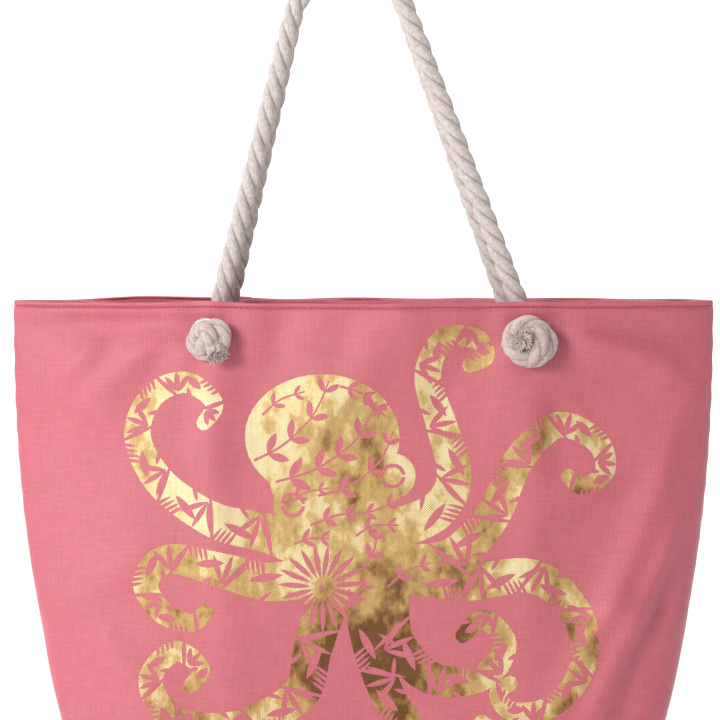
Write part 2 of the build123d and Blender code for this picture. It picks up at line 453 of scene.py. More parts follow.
@dataclass(frozen=True)
class CottonRope:
    """Soft unbleached cotton: faint yarns that run with the rope, and painted shade in the grooves between
    its strands.
    """

    name: str
    tint: Colour = (1.0, 1.0, 1.0)
    yarns: float = 13.0
    turns_per_metre: float = 33.0

    def make(self) -> Finish:
        """Build the rope's material.

        Returns:
            The finished material.
        """
        desk = NodeDesk(self.name)
        round_strand, along, _ = desk.parts(desk.uv())
        lean = desk.math("SUBTRACT", round_strand, desk.math("MULTIPLY", along, self.turns_per_metre))
        wobble = desk.math("MULTIPLY", desk.noise(desk.place(), 240.0, 2.0), 2.6)
        phase = desk.math("ADD", desk.math("MULTIPLY", lean, math.pi * self.yarns), wobble)
        yarn = desk.math("ABSOLUTE", desk.math("SINE", phase))
        fibre = desk.noise(desk.place(), 1100.0, 4.0, 0.7)
        tuft = desk.noise(desk.place(), 330.0, 3.0, 0.6)
        # Painted shade: the sides of each strand that turn in towards its neighbours are darkened towards
        # grey-brown.
        outward = desk.math("COSINE", desk.math("MULTIPLY", round_strand, 2 * math.pi))
        groove = desk.remap(outward, -0.30, 0.55, 1.0, 0.0)
        shade = desk.total(0.0, [(yarn, 0.20), (fibre, 0.85), (desk.math("SUBTRACT", tuft, 0.5), 0.75)])
        colour = desk.ramp(
            shade,
            [
                (0.28, (0.37, 0.30, 0.275)),
                (0.50, (0.59, 0.515, 0.485)),
                (0.80, (0.73, 0.665, 0.635)),
            ],
        )
        shadowed = desk.mix(desk.math("MULTIPLY", groove, 0.60), colour, (0.31, 0.25, 0.22))
        desk.drive("Base Color", desk.mix(1.0, shadowed, self.tint, "MULTIPLY"))
        coarse = desk.bump(yarn, 0.35 * MM, 0.45)
        lumps = desk.bump(tuft, 0.9 * MM, 0.5, coarse)
        desk.drive("Normal", desk.bump(fibre, 0.5 * MM, 0.8, lumps))
        desk.fix({
            "Roughness": 0.95,
            "Specular IOR Level": 0.12,
            "Sheen Weight": 0.25,
            "Sheen Roughness": 0.6,
        })
        return desk.material


@dataclass(frozen=True)
class NickelPlate:
    """Pressed and plated metal with fine handling marks."""

    name: str

    def make(self) -> Finish:
        """Build the metal's material.

        Returns:
            The finished material.
        """
        desk = NodeDesk(self.name)
        marks = desk.noise(desk.stretched(desk.place(), (1.0, 1.0, 6.0)), 700.0, 2.0)
        desk.drive("Roughness", desk.remap(marks, 0.3, 0.7, 0.46, 0.62))
        dull = desk.remap(desk.noise(desk.place(), 120.0, 2.0), 0.35, 0.7, 0.0, 1.0)
        desk.drive("Base Color", desk.mix(dull, (0.56, 0.55, 0.53), (0.38, 0.37, 0.355)))
        desk.drive("Normal", desk.bump(marks, 0.02 * MM, 0.4))
        desk.fix({"Metallic": 1.0})
        return desk.material


@dataclass(frozen=True)
class SewingThread:
    """Twisted polyester thread."""

    name: str
    colour: Colour

    def make(self) -> Finish:
        """Build the thread's material.

        Returns:
            The finished material.
        """
        desk = NodeDesk(self.name)
        ply = desk.noise(desk.stretched(desk.place(), (900.0, 900.0, 2600.0)), 1.0, 1.0)
        deep = tuple(c * 0.6 for c in self.colour)
        desk.drive("Base Color", desk.mix(ply, deep, self.colour))
        desk.drive("Normal", desk.bump(ply, 0.1 * MM, 0.6))
        desk.fix({"Roughness": 0.6, "Sheen Weight": 0.2})
        return desk.material


@dataclass(frozen=True)
class PressedBoard:
    """Grey-white board with a fibrous face."""

    name: str

    def make(self) -> Finish:
        """Build the board's material.

        Returns:
            The finished material.
        """
        desk = NodeDesk(self.name)
        flecks = desk.noise(desk.place(), 420.0, 3.0)
        desk.drive("Base Color", desk.mix(flecks, (0.55, 0.52, 0.46), (0.74, 0.72, 0.67)))
        desk.drive("Normal", desk.bump(flecks, 0.1 * MM, 0.3))
        desk.fix({"Roughness": 0.85})
        return desk.material


@dataclass(frozen=True)
class StudioPaint:
    """Matt pale paint of the floor and backdrop."""

    name: str

    def make(self) -> Finish:
        """Build the paint's material.

        Returns:
            The finished material.
        """
        desk = NodeDesk(self.name)
        grain = desk.noise(desk.place(), 6.0, 2.0)
        desk.drive("Base Color", desk.mix(grain, (0.93, 0.93, 0.93), (0.95, 0.95, 0.95)))
        desk.fix({"Roughness": 0.9, "Specular IOR Level": 0.1})
        return desk.material


# ---------------------------------------------------------------- shared mesh making


def new_piece(name: str, bm: Mesh, material: Finish) -> Piece:
    """Turn a bmesh into a piece of the scene.

    Args:
        name: The piece's name.
        bm: Its mesh, which is freed.
        material: Its finish.

    Returns:
        The new object, at the origin.
    """
    mesh = bpy.data.meshes.new(name)
    for face in bm.faces:
        face.smooth = True
    bm.to_mesh(mesh)
    bm.free()
    mesh.materials.append(material)
    piece = bpy.data.objects.new(name, mesh)
    bpy.context.scene.collection.objects.link(piece)
    return piece


def grid_into(bm: Mesh, places: np.ndarray, uvs: np.ndarray, closed: bool = False) -> None:
    """Add a sheet to a mesh: a grid whose corners are moved to given places.

    Args:
        bm: The mesh that it is added to.
        places: Positions, rows by columns by 3, in metres.
        uvs: UV coordinates, rows by columns by 2.
        closed: Whether the last column lies on the first, and is welded to it.
    """
    rows, columns = places.shape[:2]
    made = bmesh.ops.create_grid(bm, x_segments=columns - 1, y_segments=rows - 1, size=0.5)
    layer = bm.loops.layers.uv.get("weave") or bm.loops.layers.uv.new("weave")
    stations = {}
    for vert in made["verts"]:
        column = round((vert.co.x + 0.5) * (columns - 1))
        row = round((vert.co.y + 0.5) * (rows - 1))
        stations[vert] = (row, column)
    faces = {face for vert in made["verts"] for face in vert.link_faces}
    for face in faces:
        for loop in face.loops:
            loop[layer].uv = uvs[stations[loop.vert]]
    for vert, station in stations.items():
        vert.co = places[station]
    if closed:
        bmesh.ops.remove_doubles(bm, verts=made["verts"], dist=WELD)


def tube_into(
    bm: Mesh,
    line: np.ndarray,
    axes: tuple[np.ndarray, np.ndarray],
    turns: np.ndarray,
    radius: np.ndarray,
    travelled: np.ndarray,
    share: float = 1.0,
) -> None:
    """Add an open tube to a mesh.

    Args:
        bm: The mesh.
        line: The tube's middle line.
        axes: The two cross directions at each station.
        turns: The angles round it, the last one back at the first.
        radius: Its radius, stations by turns.
        travelled: How far along each station's UV is.
        share: How much of the UV's width goes round it.
    """
    across, other = axes
    ring = line[:, None] + across[:, None] * (np.cos(turns)[None, :] * radius)[..., None]
    ring = ring + other[:, None] * (np.sin(turns)[None, :] * radius)[..., None]
    uvs = np.stack(np.meshgrid(turns / (2 * math.pi) * share, travelled), axis=2)
    grid_into(bm, ring, uvs, closed=True)


def facing_out(bm: Mesh) -> None:
    """Turn every face of a closed mesh outward."""
    bmesh.ops.recalc_face_normals(bm, faces=bm.faces)


def travel(line: np.ndarray) -> np.ndarray:
    """How far along a line each of its points is."""
    return np.concatenate([[0], np.cumsum(np.linalg.norm(np.diff(line, axis=0), axis=1))])


def swell(distance: np.ndarray, width: float) -> np.ndarray:
    """A soft bump one unit high, by the distance from its middle."""
    return np.exp(-((distance / width) ** 2))


def cubic_weights(share: np.ndarray) -> list[np.ndarray]:
    """The four weights of a smooth curve through its points.

    Args:
        share: How far between the two middle points, 0 to 1.

    Returns:
        One weight for each of the four points.
    """
    t, t2, t3 = share, share**2, share**3
    return [
        0.5 * (-t + 2 * t2 - t3),
        0.5 * (2 - 5 * t2 + 3 * t3),
        0.5 * (t + 4 * t2 - 3 * t3),
        0.5 * (-t2 + t3),
    ]


def resample(field_rows: np.ndarray, places: np.ndarray, low: float, high: float) -> np.ndarray:
    """Read an evenly spaced array at any places along its first axis, smoothly.

    Args:
        field_rows: The values, the axis to read along first.
        places: Where to read.
        low: Place of the first value.
        high: Place of the last value.

    Returns:
        The values at those places.
    """
    count = len(field_rows)
    steps = np.clip((places - low) / (high - low), 0, 1) * (count - 1)
    first = np.minimum(steps.astype(int), count - 2)
    weights = cubic_weights(steps - first)
    total = 0.0
    for shift, weight in zip((-1, 0, 1, 2), weights):
        row = field_rows[np.clip(first + shift, 0, count - 1)]
        total = total + row * weight.reshape(-1, *([1] * (field_rows.ndim - 1)))
    return total


# ---------------------------------------------------------------- the bag's form


FOLD_GAIN = 1.5
FOLD_FADE = 18 * MM


@dataclass(frozen=True)
class SoftFold:
    """A shallow ridge, or a valley where its height is negative, across a wall. Sizes are in millimetres."""

    start: tuple[float, float]
    end: tuple[float, float]
    height: float
    above: float
    below: float

    def lift(self, x: np.ndarray, z: np.ndarray) -> np.ndarray:
        """How far the fold moves the cloth out.

        Args:
            x: Places across, in metres.
            z: Places up, in metres.

        Returns:
            The movement, in metres.
        """
        start, end = np.array(self.start) * MM, np.array(self.end) * MM
        run = float(np.hypot(*(end - start)))
        along = (end - start) / run
        travelled = (x - start[0]) * along[0] + (z - start[1]) * along[1]
        off = (x - start[0]) * -along[1] + (z - start[1]) * along[0]
        beyond = np.maximum(np.maximum(-travelled, travelled - run), 0.0)
        width = np.where(off > 0, self.above, self.below) * MM
        return FOLD_GAIN * self.height * MM * np.exp(-((off / width) ** 2) - (beyond / FOLD_FADE) ** 2)

    def mirrored(self) -> "SoftFold":
        """The same fold on the other hand."""
        (x0, z0), (x1, z1) = self.start, self.end
        return SoftFold((-x0, z0), (-x1, z1), self.height, self.below, self.above)


FRONT_FOLDS = (
    SoftFold((-243, 312), (-212, 338), 2.6, 9, 13),
    SoftFold((-192, 322), (-150, 356), 2.4, 10, 15),
    SoftFold((-246, 361), (-130, 364), -3.4, 8, 13),
    SoftFold((130, 362), (240, 360), -2.6, 8, 12),
    SoftFold((-205, 300), (-120, 262), 1.8, 18, 14),
    SoftFold((-226, 152), (-172, 186), 2.3, 15, 18),
    SoftFold((-228, 118), (-204, 62), -2.1, 15, 13),
    SoftFold((-192, 124), (-150, 60), 2.2, 13, 14),
    SoftFold((28, 368), (-24, 296), 2.8, 24, 20),
    SoftFold((-60, 366), (-78, 312), -2.0, 15, 15),
    SoftFold((90, 366), (62, 312), -2.0, 14, 14),
    SoftFold((252, 306), (186, 150), 5.2, 36, 15),
    SoftFold((186, 150), (150, 90), 2.8, 22, 12),
    SoftFold((236, 208), (176, 84), 3.4, 10, 8),
    SoftFold((226, 150), (192, 60), -3.0, 11, 9),
    SoftFold((168, 352), (228, 330), 2.6, 11, 13),
    SoftFold((150, 300), (214, 322), -2.0, 12, 12),
    SoftFold((210, 262), (150, 232), 1.8, 14, 14),
    SoftFold((60, 60), (140, 26), 2.0, 14, 12),
    SoftFold((-120, 40), (-30, 24), 2.0, 14, 12),
)


@dataclass
class BagForm:
    """The bag's outer surface: a tapered shell from a lens at the rim to a rounded box at the base."""

    height: float = field(init=False)
    rim_width: float = field(init=False)
    base_width: float = 419 * MM
    base_depth: float = 150 * MM
    mouth_depth: float = 70 * MM
    side_taper_power: float = 2.4
    depth_bulge: float = 0.35
    rim_squareness: float = 2.0
    base_squareness: float = 6.0
    foot_radius: float = 7 * MM
    stitch_drop: float = 4.4 * MM
    seam_calm: float = 6 * MM
    fold_start: float = 48 * MM
    foot_calm: float = 30 * MM
    cloth: float = 1.0 * MM
    eyelets: list[tuple[Side, Vector]] = field(default_factory=list)
    sway: dict[Side, np.ndarray] = field(default_factory=dict)
    places: dict[Side, np.ndarray] = field(default_factory=dict)
    normals: dict[Side, np.ndarray] = field(default_factory=dict)
    reach: np.ndarray | None = None

    def __post_init__(self) -> None:
        """Read the panel's size, and set out the rows up the wall and the columns from seam to seam."""
        low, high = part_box("front_panel")
        self.rim_width = high.x - low.x
        self.height = high.z - low.z
        foot = [0.0, 0.5, 1.2, 2.2, 3.6, 5.2, 7.0]
        rim = [4.8, 7, 10, 14]
        edge = [4.1, 3.7, 3.2, 2.5, 1.8, 1.2, 0.7, 0.3, 0.0]
        body = np.linspace(10.5, 363, 95)
        top = [self.height / MM - d for d in (*rim[::-1], *edge)]
        self.rows = np.array([*foot, *body, *top]) * MM
        seam = np.array([0.0, 0.9, 1.8, 2.8, 4.2, 6.2]) * MM / (self.rim_width / 2)
        middle = np.linspace(-1 + 9.5 * MM / (self.rim_width / 2), 1 - 9.5 * MM / (self.rim_width / 2), 133)
        self.columns = np.array([*(-1 + seam), *middle, *(1 - seam[::-1])])

    def share_down(self, z: float) -> float:
        """How far down from the rim a height is, 0 to 1."""
        return min(max(1 - z / self.height, 0.0), 1.0)

    def outline(self, z: float, columns: np.ndarray, inset: float = 0.0) -> tuple[np.ndarray, np.ndarray]:
        """One half of the outline at a height, at equal shares of its length.

        Args:
            z: The height.
            columns: Places from -1 at the left seam to 1 at the right seam.
            inset: How far the outline is moved in.

        Returns:
            x, and distance from the middle plane, at each column.
        """
        share = self.share_down(z)
        width = (self.rim_width - (self.rim_width - self.base_width) * share**self.side_taper_power) / 2
        swell = (1 + self.depth_bulge) * share - self.depth_bulge * share**2
        depth = (self.mouth_depth + (self.base_depth - self.mouth_depth) * swell) / 2
        power = self.rim_squareness + (self.base_squareness - self.rim_squareness) * share**3
        angle = np.linspace(0, math.pi, 1400)
        across, along = np.cos(angle), np.abs(np.sin(angle))
        along[0] = along[-1] = 0.0
        x = -(width - inset) * np.sign(across) * np.abs(across) ** (2 / power)
        y = (depth - inset) * along ** (2 / power)
        length = np.concatenate([[0], np.cumsum(np.hypot(np.diff(x), np.diff(y)))])
        wanted = (columns + 1) / 2 * length[-1]
        self.half_length = length[-1] / 2
        return np.interp(wanted, length, x), np.interp(wanted, length, y)

    def plain(self, side: Side, rows: np.ndarray, columns: np.ndarray) -> np.ndarray:
        """The surface before it sags.

        Args:
            side: Which wall.
            rows: Heights.
            columns: Places from seam to seam.

        Returns:
            Positions, rows by columns by 3.
        """
        out = np.zeros((len(rows), len(columns), 3))
        self.reach = np.zeros(len(rows))
        for index, z in enumerate(rows):
            dip = max(self.foot_radius - z, 0.0)
            inset = self.foot_radius - math.sqrt(max(self.foot_radius**2 - dip**2, 0.0))
            x, y = self.outline(z, columns, inset)
            out[index] = np.stack([x, side.value * y, np.full_like(x, z)], axis=1)
            self.reach[index] = self.half_length
        return out

    def settle(self) -> None:
        """Work out the sagged surface and its normals on the full grid."""
        for side in Side:
            places = self.plain(side, self.rows, self.columns)
            if side in self.sway:
                moved = resample(self.sway[side], self.rows, 0.0, self.height)
                moved = resample(moved.transpose(1, 0, 2), self.columns, -1.0, 1.0).transpose(1, 0, 2)
                places = places + moved
            places[..., 2] += self.rim_wave(side, places)
            normals = self.normals_of(places, side)
            places = places + normals * self.details(side, places)[..., None]
            self.places[side], self.normals[side] = places, self.normals_of(places, side)

    def rim_wave(self, side: Side, places: np.ndarray) -> np.ndarray:
        """How far the handles' pull and the slack between them lift or drop the rim.

        Args:
            side: Which wall.
            places: Positions of the grid.

        Returns:
            The change of height, fading out down the wall.
        """
        x = places[..., 0] / MM
        wave = 0.5 * np.sin(x / 31 + side.value) + 0.35 * np.sin(x / 13.5 + 2 * side.value)
        if side is Side.BACK:
            wave = wave + 1.5 * swell(x + 150, 55) + 0.6 * swell(x - 130, 40)
        seam = np.clip((1 - np.abs(self.columns)) * 9, 0, 1)
        return wave * MM * seam * np.clip(places[..., 2] / self.height, 0, 1) ** 14

    @staticmethod
    def normals_of(places: np.ndarray, side: Side) -> np.ndarray:
        """Outward unit normals of a grid of places.

        Args:
            places: Positions, rows by columns by 3.
            side: Which wall.

        Returns:
            Normals of the same shape.
        """
        up = np.gradient(places, axis=0)
        right = np.gradient(places, axis=1)
        normal = np.cross(right, up) * -side.value
        return normal / np.maximum(np.linalg.norm(normal, axis=2, keepdims=True), 1e-12)

    def details(self, side: Side, places: np.ndarray) -> np.ndarray:
        """Height of the stitched hem, the seams' grooves, the folds and the puckers round the eyelets.

        Args:
            side: Which wall.
            places: Positions of the grid.

        Returns:
            How far each place moves out along its normal.
        """
        z = places[..., 2]
        drop = self.height - z
        near_seam = (1 - np.abs(self.columns))[None, :] * self.reach[:, None]
        flat = np.clip(near_seam / (7 * MM), 0, 1)
        hem = -1.15 * MM * swell(drop - self.stitch_drop, 0.8 * MM) * flat
        hem += 0.55 * MM * swell(drop - 7.2 * MM, 1.9 * MM) * flat
        hem += 0.55 * MM * swell(drop - 2.3 * MM, 1.2 * MM) * flat
        groove = -0.9 * MM * swell(near_seam, 1.3 * MM)
        pucker = 0.35 * MM * np.sin(z / (3.4 * MM)) * np.exp(-near_seam / (6 * MM)) * (near_seam > 0.5 * MM)
        total = hem + groove + pucker
        from_seam = np.clip((near_seam - self.seam_calm) / (self.fold_start - self.seam_calm), 0, 1)
        calm = from_seam * np.clip(z / self.foot_calm, 0, 1)
        for fold in FRONT_FOLDS:
            laid = fold if side is Side.FRONT else fold.mirrored()
            total = total + laid.lift(places[..., 0], z) * calm
        for where, seat in self.eyelets:
            if where is side:
                dx, dz = places[..., 0] - seat.x, z - seat.z
                away, turn = np.hypot(dx, dz), np.arctan2(dz, dx)
                folds = np.cos(5 * turn + 0.6 * side.value) + 0.6 * np.cos(3 * turn + 2.0)
                total = total + 0.8 * MM * folds * swell(away - 24 * MM, 13 * MM)
                total = total - 1.1 * MM * swell(away, 17 * MM)
        return total

    def at(self, side: Side, x: np.ndarray, z: np.ndarray) -> tuple[np.ndarray, np.ndarray, np.ndarray]:
        """Read the sagged surface at places given as on a flat drawing of the panel.

        Args:
            side: Which wall.
            x: Across, where the unsagged surface has that x.
            z: Up.

        Returns:
            Positions, normals and UV coordinates.
        """
        z = np.clip(z, self.rows[0], self.rows[-1])
        row = np.clip(np.searchsorted(self.rows, z) - 1, 0, len(self.rows) - 2)
        lift = ((z - self.rows[row]) / (self.rows[row + 1] - self.rows[row]))[:, None]
        plain = self.plain(side, self.rows, self.columns)[..., 0]
        column = np.zeros(len(x))
        for index in range(len(x)):
            here = plain[row[index]] * (1 - lift[index]) + plain[row[index] + 1] * lift[index]
            column[index] = np.interp(x[index], here, self.columns)
        first = np.clip(np.searchsorted(self.columns, column) - 1, 0, len(self.columns) - 2)
        step = self.columns[first + 1] - self.columns[first]
        over = ((column - self.columns[first]) / step)[:, None]

        def read(table: np.ndarray) -> np.ndarray:
            """Read one table between its four nearest corners.

            Args:
                table: One value for each corner of the grid.

            Returns:
                The values at the places.
            """
            low = table[row, first] * (1 - over) + table[row, first + 1] * over
            high = table[row + 1, first] * (1 - over) + table[row + 1, first + 1] * over
            return low * (1 - lift) + high * lift

        along = self.reach[row] * column
        return read(self.places[side]), read(self.normals[side]), np.stack([along, z], axis=1)

    def uvs(self) -> np.ndarray:
        """UV coordinates of the grid: metres along the cloth from the middle, and metres up.

        Returns:
            The coordinates, rows by columns by 2.
        """
        along = self.reach[:, None] * self.columns[None, :]
        up = np.repeat(self.rows[:, None], len(self.columns), axis=1)
        return np.stack([along, up], axis=2)

    def seat(self, side: Side, node: str) -> tuple[Vector, Vector]:
        """Centre and outward direction of an eyelet on the wall.

        Args:
            side: Which wall.
            node: The eyelet's node in the frame.

        Returns:
            The point on the cloth and the unit normal there.
        """
        low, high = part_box(node)
        middle = (low + high) / 2
        place, _, _ = self.at(side, np.array([middle.x]), np.array([middle.z]))
        reach = 9 * MM
        around = [self.at(side, np.array([middle.x + dx]), np.array([middle.z + dz]))[0][0]
                  for dx, dz in ((-reach, 0), (reach, 0), (0, -reach), (0, reach))]
        normal = Vector(around[1] - around[0]).cross(Vector(around[3] - around[2])) * -side.value
        return Vector(place[0]), normal.normalized()


@dataclass
class ClothSettling:
    """A short cloth simulation that lets the walls sag between the eyelets, the seams and the base."""

    form: BagForm
    across: int = 72
    up: int = 50
    frames: int = 26
    slack: float = 0.022
    most: float = 7.5 * MM
    spread: float = 0.3
    base_band: float = 9 * MM
    rim_band: float = 12 * MM
    rim_grip: float = 0.55
    seam_band: float = 6 * MM
    seam_grip: float = 0.6
    eyelet_reach: float = 15 * MM

    def run(self) -> None:
        """Simulate the shell and hand its movement to the form."""
        rows = np.linspace(0, self.form.height, self.up + 1)
        columns = np.linspace(-1, 1, self.across + 1)
        front = self.form.plain(Side.FRONT, rows, columns)
        back = self.form.plain(Side.BACK, rows, columns)[:, ::-1]
        ring = np.concatenate([front, back[:, 1:]], axis=1)
        bm = bmesh.new()
        grid_into(bm, ring, np.zeros((*ring.shape[:2], 2)), closed=True)
        facing_out(bm)
        shell = new_piece("settling_shell", bm, bpy.data.materials.new("settling"))
        start = np.array([v.co for v in shell.data.vertices])
        self.hold(shell, start)
        moved = self.simulate(shell) - start
        length = np.linalg.norm(moved, axis=1, keepdims=True)
        moved *= self.most * np.tanh(length / self.most) / np.maximum(length, 1e-9)
        moved *= [self.spread, 1.0, self.spread]
        self.keep(ring, start, moved)
        bpy.data.objects.remove(shell, do_unlink=True)

    def hold(self, shell: Piece, start: np.ndarray) -> None:
        """Pin the base and eyelets fully, and the rim and the seams partly.

        Args:
            shell: The simulated shell.
            start: Its points.
        """
        group = shell.vertex_groups.new(name="held")
        for index, (x, y, z) in enumerate(start):
            grip = 0.0
            if z < self.base_band:
                grip = 1.0
            elif z > self.form.height - self.rim_band:
                grip = self.rim_grip
            if abs(y) < self.seam_band and z > self.base_band:
                grip = max(grip, self.seam_grip)
            for side, seat in self.form.eyelets:
                if y * side.value > 0 and math.hypot(x - seat.x, z - seat.z) < self.eyelet_reach:
                    grip = 1.0
            if grip:
                group.add([index], grip, "REPLACE")

    def simulate(self, shell: Piece) -> np.ndarray:
        """Run Blender's cloth on the shell.

        Args:
            shell: The shell with its pinned points.

        Returns:
            The points at the last frame.
        """
        cloth = shell.modifiers.new("settle", "CLOTH")
        settings = cloth.settings
        settings.quality = 6
        settings.mass = 0.35
        settings.tension_stiffness = settings.compression_stiffness = 35
        settings.shear_stiffness = 18
        settings.bending_stiffness = 2.2
        settings.shrink_min = -self.slack
        settings.use_pressure = True
        settings.uniform_pressure_force = 0.35
        settings.vertex_group_mass = "held"
        settings.pin_stiffness = 1.0
        settings.effector_weights.gravity = 0.8
        cloth.collision_settings.use_collision = False
        cloth.point_cache.frame_start = 1
        cloth.point_cache.frame_end = self.frames
        scene = bpy.context.scene
        for number in range(1, self.frames + 1):
            scene.frame_set(number)
        evaluated = shell.evaluated_get(bpy.context.evaluated_depsgraph_get())
        mesh = evaluated.to_mesh()
        points = np.array([v.co for v in mesh.vertices])
        evaluated.to_mesh_clear()
        scene.frame_set(1)
        return points

    def keep(self, ring: np.ndarray, start: np.ndarray, moved: np.ndarray) -> None:
        """Sort the movement back into a grid for each wall.

        Args:
            ring: The grid that the shell was made from.
            start: The shell's points before the simulation.
            moved: How far each moved.
        """
        order = {tuple(np.round(p, 6)): index for index, p in enumerate(start.tolist())}
        flat = ring.astype(np.float32).astype(float)
        grid = np.zeros(ring.shape)
        for row in range(ring.shape[0]):
            for column in range(ring.shape[1]):
                grid[row, column] = moved[order[tuple(np.round(flat[row, column], 6))]]
        for _ in range(2):
            padded = np.concatenate([grid[:, -2:-1], grid, grid[:, 1:2]], axis=1)
            grid = 0.5 * grid + 0.25 * (padded[:, :-2] + padded[:, 2:])
            inner = grid.copy()
            inner[1:-1] = 0.5 * grid[1:-1] + 0.25 * (grid[:-2] + grid[2:])
            grid = inner
        self.form.sway[Side.FRONT] = grid[:, : self.across + 1]
        self.form.sway[Side.BACK] = grid[:, self.across :][:, ::-1]


# ---------------------------------------------------------------- cloth pieces


@dataclass
class ClothWalls:
    """The two panels with their turned-in hems, the base cloth and the thread that holds the hem."""

    form: BagForm
    canvas: Finish
    thread: Finish
    fold: float = 1.3 * MM
    facing_depth: float = 46 * MM
    stitch_length: float = 3.1 * MM
    stitch_gap: float = 0.9 * MM
    stitch_radius: float = 0.42 * MM
    middle_hole: float = 30 * MM

    def sheet(self, name: str, side: Side, path: Sequence[tuple[int, float, float]]) -> Piece:
        """A sheet that follows the wall at the given rows, offsets and lifts.

        Args:
            name: The piece's name.
            side: Which wall.
            path: For each row of the sheet, the form's row, the offset along the normal and the lift.

        Returns:
            The sheet, without its thickness.
        """
        places, normals, uvs = self.form.places[side], self.form.normals[side], self.form.uvs()
        rows, coords = [], []
        travelled, before = 0.0, None
        for row, offset, lift in path:
            here = places[row] + normals[row] * offset + np.array([0, 0, lift])
            uv = uvs[row].copy()
            if before is not None:
                travelled += float(np.median(np.linalg.norm(here - before, axis=1)))
            uv[:, 1] = travelled
            before = here
            rows.append(here)
            coords.append(uv)
        bm = bmesh.new()
        grid_into(bm, np.array(rows), np.array(coords))
        piece = new_piece(name, bm, self.canvas)
        self.turn(piece, side)
        return piece

    def turn(self, piece: Piece, side: Side) -> None:
        """Make an open sheet's faces look out of the bag.

        Args:
            piece: The sheet.
            side: Which wall it belongs to.
        """
        mesh = piece.data
        middle = mesh.polygons[len(mesh.polygons) // 2]
        if middle.normal.y * side.value < 0:
            mesh.flip_normals()

    def thicken(self, piece: Piece, thickness: float) -> None:
        """Give a sheet its cloth's thickness, inwards.

        Args:
            piece: The sheet.
            thickness: In metres.
        """
        solid = piece.modifiers.new("cloth", "SOLIDIFY")
        solid.thickness = thickness
        solid.offset = -1.0
        solid.use_even_offset = False

    def oval(
        self,
        name: str,
        halves: Sequence[np.ndarray],
        shares: Sequence[float],
        level: float,
        cloth: Finish,
        facing: int,
    ) -> Piece:
        """A flat sheet inside the bag's outline.

        Args:
            name: The piece's name.
            halves: The outline's front half and back half, each from the left seam to the right one.
            shares: The rings of its mesh, as shares of the outline.
            level: Its height.
            cloth: Its finish.
            facing: 1 where its face looks up, -1 where it looks down.

        Returns:
            The sheet, without its thickness.
        """
        outline = np.concatenate([halves[0], halves[1][::-1][1:]])
        places = np.array([outline * [s, s, 0] + [0, 0, level] for s in shares])
        bm = bmesh.new()
        grid_into(bm, places, places[..., :2].copy(), closed=True)
        inner = [e for e in bm.edges if e.is_boundary and e.verts[0].co.xy.length < self.middle_hole]
        bmesh.ops.holes_fill(bm, edges=inner, sides=0)
        piece = new_piece(name, bm, cloth)
        if piece.data.polygons[0].normal.z * facing < 0:
            piece.data.flip_normals()
        return piece

    def panel(self, side: Side) -> Piece:
        """One wall's outer cloth, up to and over the fold at the rim.

        Args:
            side: Which wall.

        Returns:
            The panel.
        """
        last = len(self.form.rows) - 1
        path = [(row, 0.0, 0.0) for row in range(last)]
        steps = 7
        for step in range(steps + 1):
            angle = math.pi * step / steps
            offset = -self.fold * (1 - math.cos(angle))
            path.append((last, offset, self.fold * (math.sin(angle) - 1)))
        piece = self.sheet(f"{side.word}_panel_cloth", side, path)
        self.thicken(piece, self.form.cloth)
        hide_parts(f"{side.word}_panel")
        return self.finish(piece, "canvas", flat=(0.56, 0.40))

    def facing(self, side: Side) -> Piece:
        """The cloth turned in below the fold.

        Args:
            side: Which wall.

        Returns:
            The facing.
        """
        rows = [r for r, z in enumerate(self.form.rows) if z > self.form.height - self.facing_depth]
        rows = [r for r in rows if self.form.rows[r] < self.form.height - 1.6 * MM]
        path = [(row, -2 * self.fold - 0.05 * MM, 0.0) for row in rows]
        piece = self.sheet(f"{side.word}_facing_cloth", side, path)
        piece.data.flip_normals()
        self.thicken(piece, 0.8 * MM)
        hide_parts(f"{side.word}_facing")
        return self.finish(piece, "canvas", flat=(0.56, self.facing_depth))

    def base(self) -> Piece:
        """The cloth under the bag, from one foot's curve to the other.

        Returns:
            The base cloth.
        """
        halves = [self.form.places[side][0] for side in Side]
        shares = (1.0, 0.985, 0.93, 0.8, 0.6, 0.4, 0.2, 0.05)
        piece = self.oval("base_panel_cloth", halves, shares, 0.1 * MM, self.canvas, facing=-1)
        self.thicken(piece, 1.0 * MM)
        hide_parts("base_panel")
        return self.finish(piece, "canvas", flat=(0.42, 0.15))

    def stitching(self, side: Side) -> Piece:
        """The row of stitches that holds the hem.

        Args:
            side: Which wall.

        Returns:
            All its stitches, as one piece.
        """
        form = self.form
        row = int(np.argmin(np.abs(form.rows - (form.height - form.stitch_drop))))
        line, out = form.places[side][row], form.normals[side][row]
        length = travel(line)
        pitch = self.stitch_length + self.stitch_gap
        bm = bmesh.new()
        for number in range(int((length[-1] - 6 * MM) / pitch)):
            spot = 3 * MM + (number + 0.5) * pitch
            ends = [np.array([np.interp(spot + d, length, line[:, k]) for k in range(3)])
                    for d in (-self.stitch_length / 2, self.stitch_length / 2)]
            normal = Vector([np.interp(spot, length, out[:, k]) for k in range(3)]).normalized()
            along = Vector(ends[1] - ends[0]).normalized()
            turned = Matrix([along, normal, along.cross(normal)]).transposed().to_4x4()
            middle = Matrix.Translation(Vector((ends[0] + ends[1]) / 2) + normal * 0.12 * MM)
            size = Matrix.Diagonal((self.stitch_length / 2, self.stitch_radius, self.stitch_radius, 1))
            stitch = middle @ turned @ size
            bmesh.ops.create_uvsphere(bm, u_segments=6, v_segments=5, radius=1.0, matrix=stitch)
        facing_out(bm)
        piece = new_piece(f"{side.word}_hem_stitches", bm, self.thread)
        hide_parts(f"{side.word}_topstitch")
        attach(piece, "bag")
        return piece

